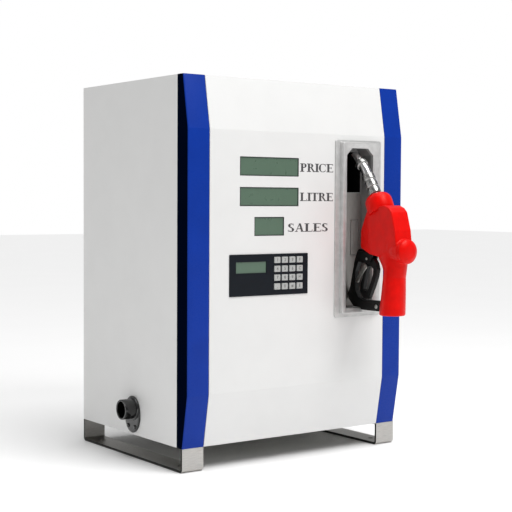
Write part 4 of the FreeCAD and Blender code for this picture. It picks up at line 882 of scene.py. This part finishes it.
def make_flap():
    """The sprung hook flap: a leaf that lies flush in the wear plate, its knuckle and pin behind."""
    low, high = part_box("hook_flap")
    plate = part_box("wear_plate")[0]
    centre = (low.x + high.x) / 2
    pin = Vector((centre, *FLAP_PIVOT))
    mesh = bmesh.new()
    leaf = box_outline((centre - 9.1 * MM, pin.z - 64.5 * MM), (centre + 9.1 * MM, pin.z + 6.3 * MM))
    slab(mesh, soften(leaf, 1.5 * MM, 3), "y", plate.y + 0.1 * MM, plate.y + 1.4 * MM)
    neck = box_outline((centre - 7.5 * MM, pin.z - 20 * MM), (centre + 7.5 * MM, pin.z - 1 * MM))
    slab(mesh, neck, "y", plate.y + 1.2 * MM, pin.y - 1 * MM)
    finish_mesh("flap_leaf", mesh, "brushed wear plate", "hook_flap", ["hook_flap"], 0.3 * MM, 2)
    hinge = bmesh.new()
    for radius, half, steps in ((4.4 * MM, 8 * MM, 32), (1.95 * MM, 13 * MM, 24)):
        cylinder(hinge, radius, pin - Vector((half, 0, 0)), pin + Vector((half, 0, 0)), steps)
    finish_mesh("flap_hinge_pin", hinge, "zinc plated steel", "hook_flap", bevel=0.3 * MM)


# ---------------------------------------------------------------- suction port

def make_port():
    """The oval flange on the left side, with its pipe end, weld and screws."""
    low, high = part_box("port_flange")
    centre = (low + high) / 2
    wide, tall = (high.y - low.y) / 2, (high.z - low.z) / 2
    rings = []
    for shrink, x in ((0.4, SIDE + 0.2 * MM), (0, SIDE - 0.3 * MM), (0, low.x + 1.2 * MM),
                      (0.4, low.x + 0.4 * MM), (1.4, low.x), (6, low.x)):
        ring = oval((centre.y, centre.z), wide - shrink * MM, tall - shrink * MM, 72)
        rings.append([(x, y, z) for y, z in ring])
    mesh = bmesh.new()
    loft(mesh, rings)
    enamelled = "gloss black pipe enamel"
    finish_mesh("port_oval", mesh, enamelled, "cabinet", ["port_flange"], angle=50)
    stub_low, stub_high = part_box("port_stub")
    axis = (stub_low + stub_high) / 2
    radius, neck, bore = (stub_high.z - stub_low.z) / 2, 18 * MM, 16 * MM
    reach, outside = stub_high.x - stub_low.x, low.x - stub_low.x
    profile = [(reach, bore), (reach, neck), (outside, neck), (outside, radius), (1.2 * MM, radius),
               (0.4 * MM, radius - 0.3 * MM), (0, radius - 1.1 * MM), (0, bore + 1 * MM),
               (0.6 * MM, bore + 0.2 * MM), (1.4 * MM, bore), (reach, bore)]
    pipe = bmesh.new()
    turned(pipe, profile, (stub_low.x, axis.y, axis.z), (1, 0, 0), 64)
    finish_mesh("suction_pipe_end", pipe, enamelled, "cabinet", ["port_stub"], angle=40)
    collar = bmesh.new()
    weld = [(0, radius), (0.2 * MM, radius + 2.2 * MM), (1 * MM, radius + 3 * MM),
            (2.5 * MM, radius + 3.4 * MM), (3 * MM, radius), (0, radius)]
    turned(collar, list(reversed(weld)), (low.x - 2.4 * MM, axis.y, axis.z), (1, 0, 0), 64)
    finish_mesh("port_weld_fillet", collar, enamelled, "cabinet", angle=60)
    screws = bmesh.new()
    for way in (-1, 1):
        start = (low.x - 2.4 * MM, centre.y + way * 13 * MM, low.z + 13 * MM)
        head = [(0, 0.01 * MM), (0, 2.6 * MM), (0.6 * MM, 3.9 * MM), (2.5 * MM, 4.4 * MM)]
        turned(screws, head, start, (1, 0, 0), 24)
    finish_mesh("port_screws", screws, enamelled, "cabinet")


# ---------------------------------------------------------------- nozzle

def nozzle_places():
    """Key places of the nozzle, from the frame: middle plane, handle axis, lower end and underside."""
    swivel = middle("hose_swivel")
    return swivel.x, swivel.y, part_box("nozzle_body")[0].z, VALVE_LOW


def offsets(points, y, z):
    """Places in metres from offsets in millimetres."""
    return [(y + a * MM, z + b * MM) for a, b in points]


def make_jacket():
    """The red vinyl jacket over the valve body and the handle, melted into one skin."""
    x, grip_y, grip_low, valve_low = nozzle_places()
    cap_low, cap_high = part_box("nozzle_cap")
    half = 21.4 * MM
    mesh = bmesh.new()
    outline = offsets([(58, 92), (82, 48), (82, 14), (48, 2), (20, -2), (-27, -2), (-33, 20), (-29, 51),
                       (-21.5, 76), (-18, 87), (-10, 95), (3, 100), (22, 98)], grip_y, valve_low)
    slab(mesh, soften(outline, 6 * MM, 4), "x", x - half, x + half)
    # The sides draw in towards the back, where the spout's collar sits between them.
    for vertex in mesh.verts:
        back = max(0, vertex.co.y - (grip_y + 38 * MM)) / (45 * MM)
        vertex.co.x = x + (vertex.co.x - x) * (1 - 0.36 * back)
    body = finish_mesh("nozzle_jacket", mesh, "red vinyl", "nozzle", ["nozzle_body"], 6 * MM, 4)
    settle(body)
    parts = bmesh.new()
    # Height above the handle's foot, how far its axis leans to the front, and its radius.
    grip = [(0, 0, 18), (0, 0, 23.6), (0.8, 0, 25.2), (2.6, 0, 26), (16, 1, 25.6), (50, 3.8, 23.9),
            (90, 6, 21.9), (104, 7.4, 21.7), (140, 9, 21.2), (170, 9, 18)]
    # The funnel that joins the handle to the valve body, wider to the back.
    funnel = [(78, -8, 21.6, 20.5), (88, -7, 21.8, 24), (100, -5, 22, 29), (112, -2, 22, 36),
              (126, 0, 21.6, 40)]
    for stations in ([(up, -lean, radius, radius) for up, lean, radius in grip], funnel):
        rings = []
        for up, back, wide, deep in stations:
            ring = oval((x, grip_y + back * MM), wide * MM, deep * MM)
            rings.append([(a, b, grip_low + up * MM) for a, b in ring])
        loft(parts, rings)
    boss = (cap_high.z - cap_low.z) / 2
    neck = [(0, boss - 1.6 * MM), (1.2 * MM, boss - 0.3 * MM), (14 * MM, boss - 0.6 * MM),
            (44 * MM, boss - 6 * MM)]
    turned(parts, neck, (x, cap_high.y - 0.6 * MM, (cap_low.z + cap_high.z) / 2), (0, 1, 0), 64)
    data = bpy.data.meshes.new("parts")
    bmesh.ops.recalc_face_normals(parts, faces=parts.faces)
    parts.to_mesh(data)
    parts.free()
    joined = bmesh.new()
    joined.from_mesh(body.data)
    joined.from_mesh(data)
    joined.to_mesh(body.data)
    joined.free()
    remesh = body.modifiers.new("melted", "REMESH")
    remesh.mode = "VOXEL"
    remesh.voxel_size = 1.1 * MM
    smooth = body.modifiers.new("softened", "SMOOTH")
    smooth.factor = 0.6
    smooth.iterations = 7
    settle(body)
    body.data.materials.clear()
    body.data.materials.append(materials["red vinyl"])
    body.data.shade_smooth()
    room = bmesh.new()
    cylinder(room, 18.4 * MM, (x, grip_y, grip_low - 0.01), (x, grip_y, grip_low + 31 * MM), 48)
    carve(body, room)


def make_cap():
    """The round cap on the front of the nozzle's valve."""
    low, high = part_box("nozzle_cap")
    centre = (low + high) / 2
    radius = (high.z - low.z) / 2
    deep = high.y - low.y
    mesh = bmesh.new()
    # Distance back from the cap's face, and how far inside its rim, in millimetres.
    crown = [(0, 10.5), (0.25, 9.4), (1.4, 6.6), (3.4, 2.9), (4.6, 1.2), (5.6, 0.4), (6.6, 0)]
    profile = [(0, 0.01 * MM)] + [(back * MM, radius - inside * MM) for back, inside in crown]
    profile += [(deep - 1 * MM, radius), (deep, radius - 0.9 * MM)]
    turned(mesh, profile, (centre.x, low.y, centre.z), (0, 1, 0), 72)
    finish_mesh("valve_cap", mesh, "red vinyl", "nozzle", ["nozzle_cap"], angle=24)


def spout_axis():
    """Where the spout leaves its collar, and its lower direction, bend and tip."""
    low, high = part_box("spout_tube")
    rise, tip_rise = math.radians(58), math.radians(39.5)
    up = Vector((0, math.cos(rise), math.sin(rise)))
    tip_way = Vector((0, math.cos(tip_rise), math.sin(tip_rise)))
    leave = Vector(((low.x + high.x) / 2, *SPOUT_FOOT))
    bend = leave + up * 62 * MM
    return leave, up, bend, bend + tip_way * 44 * MM, tip_way


def make_spout():
    """The bent spout, its sprung sleeves, and the dome that it leaves."""
    leave, up, bend, tip, tip_way = spout_axis()
    radius = SPOUT_RADIUS
    path = [leave - up * 20 * MM, leave + up * 40 * MM]
    start, end = bend - up * 13 * MM, bend + tip_way * 13 * MM
    for step in range(1, 10):
        share = step / 10
        path.append(start * (1 - share) ** 2 + bend * 2 * share * (1 - share) + end * share ** 2)
    path += [bend + tip_way * 16 * MM, tip - tip_way * 1.5 * MM, tip - tip_way * 0.4 * MM, tip, tip,
             tip - tip_way * 18 * MM]
    radii = [radius] * (len(path) - 4) + [radius - inside * MM for inside in (0.2, 0.8, 1.6, 1.6)]
    side = Vector((1, 0, 0))
    rings = []
    for index, point in enumerate(path):
        if index < 2:
            along = up
        elif index >= 11:
            along = tip_way
        else:
            along = up.lerp(tip_way, (index - 1) / 10).normalized()
        across = side.cross(along).normalized()
        rings.append([point + side * a + across * b for a, b in oval((0, 0), radii[index], radii[index], 40)])
    mesh = bmesh.new()
    loft(mesh, rings)
    finish_mesh("spout_pipe", mesh, "chromed tube", "nozzle", ["spout_tube"], angle=40)
    sleeve = bmesh.new()
    ring, core = 12.9 * MM, 11.2 * MM
    for start, way, first, beads in ((leave, up, 1, 3), (bend, tip_way, 9, 1)):
        profile = [(first * MM, radius), (first * MM, core)]
        for number in range(beads):
            foot = first + 16 * number
            long = 14 if beads > 1 else 12
            for share, height in ((0, 0), (0.07, 0.75), (0.16, 1), (0.84, 1), (0.93, 0.75), (1, 0)):
                profile.append(((foot + long * share) * MM, core + (ring - core) * height))
        last = profile[-1][0] + 0.6 * MM
        profile += [(last, core), (last, radius), (first * MM, radius)]
        turned(sleeve, profile, start, way, 56)
    finish_mesh("spout_spring_sleeve", sleeve, "chromed spring", "nozzle", ["spout_spring"],
                angle=50)
    collar = bmesh.new()
    wide, hole = 27.3 * MM, 11 * MM
    lean = math.radians(64)
    axis = Vector((0, math.cos(lean), math.sin(lean)))
    foot = Vector((leave.x, *DOME_FOOT)) - axis * 34 * MM
    dome = [(-4 * MM, hole), (-4 * MM, wide - 2 * MM), (0, wide), (17 * MM, wide)]
    for step in range(1, 9):
        angle = math.pi / 2 * step / 8
        dome.append((17 * MM + 17 * MM * math.sin(angle), wide - 15.5 * MM * (1 - math.cos(angle))))
    dome += [(34.2 * MM, 11.4 * MM), (33 * MM, hole), (-4 * MM, hole)]
    turned(collar, dome, foot, axis, 64)
    finish_mesh("spout_dome", collar, "red vinyl", "nozzle", ["spout_collar"], angle=45)


def blade(name, outline, x, half, finish, body, replaces, soft, bevel, holes):
    """A flat part of the lever set: an outline in (y, z), thickened across the nozzle."""
    mesh = bmesh.new()
    slab(mesh, soften(outline, soft), "x", x - half, x + half)
    carve(finish_mesh(name, mesh, finish, body, [replaces], bevel), holes)


def cross_pin(mesh, profile, x, place, steps):
    """A turned pin across the nozzle, from x on, at a place in (y, z)."""
    turned(mesh, [(along * MM, radius * MM) for along, radius in profile], (x, *place), (1, 0, 0), steps)


def make_lever_set():
    """The guard with its ears and pins, the lever, and the hold-open clip."""
    x, grip_y, grip_low, valve_low = nozzle_places()
    strap = offsets([(97, 10.5), (101, 7), (110, -13), (117, -42), (123, -66), (130.5, -82), (127, -93),
                     (112, -107), (93, -107.5), (88, -112), (15, -112), (15, -91), (60, -91), (80, -93),
                     (97, -88), (107, -74), (107.5, -35), (101, -21), (96, -10), (86, -8), (80, 10.5)],
                    grip_y, valve_low)
    room = bmesh.new()
    foot = Vector((x, grip_y, grip_low))
    reach = Vector((x, grip_y - 6 * MM, grip_low + 90 * MM)) - foot
    turned(room, [(0, 26.1 * MM), (reach.length, 21.8 * MM)], foot, reach, 64)
    blade("guard_strap", strap, x, 5 * MM, "black nylon", "nozzle", "lever_guard", 4 * MM,
          1.2 * MM, room)
    ears = bmesh.new()
    ear = offsets([(26, 14), (29, 8), (27, -7), (-1, -9), (-9, -8), (-15, 2), (-19, 14)], *LEVER_PIVOT)
    for inner, outer in ((-9, -5.2), (5.2, 9)):
        slab(ears, soften(ear, 3 * MM, 3), "x", x + inner * MM, x + outer * MM)
    finish_mesh("guard_ears", ears, "black nylon", "nozzle", bevel=0.6 * MM)
    pins = bmesh.new()
    cross_pin(pins, [(0, 1.5), (0.4, 2.6), (1.2, 2.95), (18.8, 2.95), (19.6, 2.6), (20, 1.5)], x - 10 * MM,
              LEVER_PIVOT, 32)
    cross_pin(pins, [(0, 1.2), (0.4, 3), (1.3, 4.3), (11.7, 4.3), (12.6, 3), (13, 1.2)], x - 6.5 * MM,
              GUARD_PIN, 32)
    finish_mesh("guard_pins", pins, "zinc plated steel", "nozzle", bevel=0.2 * MM)

    loop = offsets([(7, 1), (4, 6), (-8, 6), (-16, 2), (-25, -9), (-28.3, -20), (-25, -35), (-16.5, -54.5),
                    (-3, -80), (5, -81.5), (15, -79), (24, -66), (22, -50), (15, -36), (8, -14)], *LEVER_PIVOT)
    opening = offsets([(1, -16.5), (-9, -14), (-16, -20), (-15, -31), (-3, -59), (3, -66), (15, -63), (11, -47),
                       (6, -31)], *LEVER_PIVOT)
    holes = bmesh.new()
    slab(holes, soften(opening, 1.5 * MM, 4), "x", x - ACROSS, x + ACROSS)
    cylinder(holes, 3.1 * MM, (x - ACROSS, *LEVER_PIVOT), (x + ACROSS, *LEVER_PIVOT), 32)
    blade("lever_loop", loop, x, 4.7 * MM, "black nylon", "lever", "lever", 3 * MM,
          1.2 * MM, holes)
    stud = bmesh.new()
    cross_pin(stud, [(0, 1), (0.4, 1.7), (1, 1.95), (5.6, 1.95)], x - 10 * MM, CLIP_PIVOT, 24)
    finish_mesh("clip_stud", stud, "zinc plated steel", "lever", bevel=0.1 * MM)
    hook = offsets([(-4, -3), (-4, 3), (3, 4), (8, -2), (18, -16), (28, -29), (27, -34), (22, -35), (12, -22)],
                   *CLIP_PIVOT)
    bore = bmesh.new()
    cylinder(bore, 2.1 * MM, (x - ACROSS, *CLIP_PIVOT), (x + ACROSS, *CLIP_PIVOT), 24)
    blade("clip_hook", hook, x - 7 * MM, 1.5 * MM, "zinc plated steel", "hold_clip", "hold_clip",
          2.5 * MM, 0.4 * MM, bore)


def make_swivel():
    """The ring in the handle's foot, threaded inside for a hose."""
    x, grip_y, grip_low, _ = nozzle_places()
    mesh = bmesh.new()
    outer, bore = 18 * MM, 12 * MM
    profile = [(31 * MM, outer - 1 * MM), (30 * MM, outer), (2 * MM, outer), (1 * MM, outer - 1 * MM),
               (1 * MM, bore + 1.2 * MM)]
    for turn in range(9):
        start = (2.2 + 2.6 * turn) * MM
        profile += [(start, bore), (start + 1.3 * MM, bore + 0.9 * MM)]
    profile += [(26 * MM, bore), (26 * MM, 0.01 * MM)]
    turned(mesh, profile, (x, grip_y, grip_low), (0, 0, 1), 56)
    finish_mesh("swivel_ring", mesh, "plain casting", "hose_swivel", ["hose_swivel"], angle=40)


# ---------------------------------------------------------------- the rest of the frame

INSIDE = {
    "base_pan": "zinc plated steel", "skid_bolts": "zinc plated steel", "door_pivots": "zinc plated steel",
    "door_lock": "chromed lock", "display_board": "green circuit board", "keypad_board": "green circuit board",
    "boot_pocket": "shaded casting", "spout_socket": "black socket plastic", "wear_plate": "brushed wear plate",
    "pump_body": "grey painted iron", "flow_meter": "plain casting",
    "motor_body": "plain casting", "pump_pulley": "grey painted iron", "motor_pulley": "grey painted iron",
    "drive_belt": "belt neoprene", "outlet_pipe": "zinc plated steel", "hose_outlet": "zinc plated steel",
    "control_box": "black socket plastic", "cable_gland": "black nylon",
}


def dress_frame():
    """Give the frame's own nodes their finishes."""
    for name, finish in INSIDE.items():
        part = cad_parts[name]
        part.data.materials.clear()
        part.data.materials.append(materials[finish])


# ---------------------------------------------------------------- stage

def lamp(name, kind, power, place, target):
    """A light aimed at a point."""
    light = bpy.data.lights.new(name, kind)
    light.energy = power
    holder = placed(name, light)
    holder.location = place
    holder.rotation_euler = (Vector(target) - Vector(place)).to_track_quat("-Z", "Y").to_euler()
    return light


def soft_box(name, power, size, place, target):
    """A rectangular area light, given its width and height."""
    light = lamp(name, "AREA", power, place, target)
    light.shape = "RECTANGLE"
    light.size, light.size_y = size


def make_stage():
    """The camera, the pale floor, the backdrop and the lights."""
    stage = bpy.context.scene.dispenser_stage
    forward = Vector((math.sin(stage.yaw) * math.cos(stage.pitch), math.cos(stage.yaw) * math.cos(stage.pitch),
                      math.sin(stage.pitch)))
    right = Vector((math.cos(stage.yaw), -math.sin(stage.yaw), 0))
    up = right.cross(forward)
    across = right * math.cos(stage.roll) + up * math.sin(stage.roll)
    above = up * math.cos(stage.roll) - right * math.sin(stage.roll)
    camera = bpy.data.cameras.new("camera")
    camera.lens = stage.lens
    camera.clip_end = 50
    holder = placed("camera", camera)
    turn = Matrix((across, above, -forward)).transposed()
    holder.matrix_world = Matrix.Translation(Vector(stage.eye)) @ turn.to_4x4()
    bpy.context.scene.camera = holder

    mesh = bmesh.new()
    half = 14
    corners = [(*corner, 0) for corner in box_outline((-half, -half), (half, half))]
    mesh.faces.new([mesh.verts.new(corner) for corner in corners])
    data = bpy.data.meshes.new("floor")
    mesh.to_mesh(data)
    mesh.free()
    tree, shader, place = surface("pale floor", stage.floor, 0.8)
    tinted(tree, noise(tree, place, 0.4), shader, shade(stage.floor, 0.99), stage.floor)
    data.materials.append(materials["pale floor"])
    placed("floor", data)

    world = bpy.data.worlds.new("studio")
    world.use_nodes = True
    background = world.node_tree.nodes["Background"]
    background.inputs["Color"].default_value = (1, 1, 1, 1)
    # The backdrop is white to look at, and lights the object with a part of that.
    seen = node(world.node_tree, "LightPath").outputs["Is Camera Ray"]
    node(world.node_tree, "MapRange", {"To Min": stage.ambient, "To Max": 1.0}, {"Value": seen},
         background.inputs["Strength"])
    bpy.context.scene.world = world
    bpy.context.scene.view_settings.view_transform = "Standard"
    soft_box("key light", stage.key, (1.2, 1.0), (0.35, -1.7, 2.1), (0, 0, 0.45))
    sky = lamp("sky light", "SUN", stage.sky, (0, 0, 0), (-0.12, 0.2, -1))
    sky.angle = math.radians(50)
    soft_box("left fill", stage.fill, (1.2, 1.6), (-2.6, -0.4, 1.2), (0, 0, 0.4))


# ---------------------------------------------------------------- add-on

class DISPENSER_OT_stage(bpy.types.Operator):
    """Camera, lights and floor"""

    bl_idname = "dispenser.stage"
    bl_label = "Stage"

    def execute(self, context):
        make_stage()
        return {"FINISHED"}


class DISPENSER_OT_materials(bpy.types.Operator):
    """All materials"""

    bl_idname = "dispenser.materials"
    bl_label = "Finishes"

    def execute(self, context):
        make_materials()
        return {"FINISHED"}


class DISPENSER_OT_front(bpy.types.Operator):
    """White front with its cut-outs"""

    bl_idname = "dispenser.front"
    bl_label = "Front panel"

    def execute(self, context):
        make_front()
        return {"FINISHED"}


class DISPENSER_OT_trims(bpy.types.Operator):
    """Blue folded corner trims"""

    bl_idname = "dispenser.trims"
    bl_label = "Corner trims"

    def execute(self, context):
        make_trims()
        return {"FINISHED"}


class DISPENSER_OT_panels(bpy.types.Operator):
    """Plain painted panels"""

    bl_idname = "dispenser.panels"
    bl_label = "Side and top panels"

    def execute(self, context):
        make_panels()
        return {"FINISHED"}


class DISPENSER_OT_door(bpy.types.Operator):
    """Service door with louvres"""

    bl_idname = "dispenser.door"
    bl_label = "Rear door"

    def execute(self, context):
        make_door()
        return {"FINISHED"}


class DISPENSER_OT_skids(bpy.types.Operator):
    """Bent flat-bar skids"""

    bl_idname = "dispenser.skids"
    bl_label = "Skids"

    def execute(self, context):
        make_skids()
        return {"FINISHED"}


class DISPENSER_OT_displays(bpy.types.Operator):
    """Rims and glass of the displays"""

    bl_idname = "dispenser.displays"
    bl_label = "Displays"

    def execute(self, context):
        make_displays()
        return {"FINISHED"}


class DISPENSER_OT_words(bpy.types.Operator):
    """Words printed beside the displays"""

    bl_idname = "dispenser.words"
    bl_label = "Words"

    def execute(self, context):
        make_words()
        return {"FINISHED"}


class DISPENSER_OT_keypad(bpy.types.Operator):
    """Keypad bezel, keys and their figures"""

    bl_idname = "dispenser.keypad"
    bl_label = "Keypad"

    def execute(self, context):
        make_keypad()
        return {"FINISHED"}


class DISPENSER_OT_boot(bpy.types.Operator):
    """Cast frame of the nozzle boot"""

    bl_idname = "dispenser.boot"
    bl_label = "Nozzle boot"

    def execute(self, context):
        make_boot()
        return {"FINISHED"}


class DISPENSER_OT_flap(bpy.types.Operator):
    """Sprung flap in the wear plate"""

    bl_idname = "dispenser.flap"
    bl_label = "Hook flap"

    def execute(self, context):
        make_flap()
        return {"FINISHED"}


class DISPENSER_OT_port(bpy.types.Operator):
    """Oval flange and pipe stub"""

    bl_idname = "dispenser.port"
    bl_label = "Suction port"

    def execute(self, context):
        make_port()
        return {"FINISHED"}


class DISPENSER_OT_jacket(bpy.types.Operator):
    """Red jacket of the nozzle"""

    bl_idname = "dispenser.jacket"
    bl_label = "Nozzle jacket"

    def execute(self, context):
        make_jacket()
        return {"FINISHED"}


class DISPENSER_OT_cap(bpy.types.Operator):
    """Round cap of the nozzle"""

    bl_idname = "dispenser.cap"
    bl_label = "Nozzle cap"

    def execute(self, context):
        make_cap()
        return {"FINISHED"}


class DISPENSER_OT_spout(bpy.types.Operator):
    """Spout, spring sleeve and collar"""

    bl_idname = "dispenser.spout"
    bl_label = "Spout"

    def execute(self, context):
        make_spout()
        return {"FINISHED"}


class DISPENSER_OT_lever(bpy.types.Operator):
    """Guard, lever and hold-open clip"""

    bl_idname = "dispenser.lever"
    bl_label = "Lever set"

    def execute(self, context):
        make_lever_set()
        return {"FINISHED"}


class DISPENSER_OT_swivel(bpy.types.Operator):
    """Threaded swivel in the handle"""

    bl_idname = "dispenser.swivel"
    bl_label = "Hose swivel"

    def execute(self, context):
        make_swivel()
        return {"FINISHED"}


class DISPENSER_OT_inside(bpy.types.Operator):
    """Finishes of the frame's own parts"""

    bl_idname = "dispenser.inside"
    bl_label = "Inner parts"

    def execute(self, context):
        dress_frame()
        return {"FINISHED"}


OPERATORS = [
    DISPENSER_OT_stage, DISPENSER_OT_materials, DISPENSER_OT_front, DISPENSER_OT_trims, DISPENSER_OT_panels,
    DISPENSER_OT_door, DISPENSER_OT_skids, DISPENSER_OT_displays, DISPENSER_OT_words, DISPENSER_OT_keypad,
    DISPENSER_OT_boot, DISPENSER_OT_flap, DISPENSER_OT_port, DISPENSER_OT_jacket, DISPENSER_OT_cap,
    DISPENSER_OT_spout, DISPENSER_OT_lever, DISPENSER_OT_swivel, DISPENSER_OT_inside,
]


class DISPENSER_PT_panel(bpy.types.Panel):
    """Lists the pieces, the sizes and the colours."""

    bl_idname = "DISPENSER_PT_panel"
    bl_label = "Fuel dispenser"
    bl_space_type = "VIEW_3D"
    bl_region_type = "UI"
    bl_category = "Dispenser"

    def draw(self, context):
        for group in ("dispenser_sizes", "dispenser_colours", "dispenser_stage"):
            values = getattr(context.scene, group)
            for name in values.__annotations__:
                self.layout.prop(values, name)
        for item in OPERATORS:
            self.layout.operator(item.bl_idname)


CLASSES = [DispenserSizes, DispenserColours, DispenserStage, *OPERATORS, DISPENSER_PT_panel]


def register():
    for item in CLASSES:
        bpy.utils.register_class(item)
    bpy.types.Scene.dispenser_sizes = bpy.props.PointerProperty(type=DispenserSizes)
    bpy.types.Scene.dispenser_colours = bpy.props.PointerProperty(type=DispenserColours)
    bpy.types.Scene.dispenser_stage = bpy.props.PointerProperty(type=DispenserStage)


def unregister():
    del bpy.types.Scene.dispenser_stage
    del bpy.types.Scene.dispenser_colours
    del bpy.types.Scene.dispenser_sizes
    for item in reversed(CLASSES):
        bpy.utils.unregister_class(item)


def main():
    register()
    for item in OPERATORS:
        getattr(bpy.ops.dispenser, item.bl_idname.split(".")[1])()


if __name__ == "__main__":
    main()
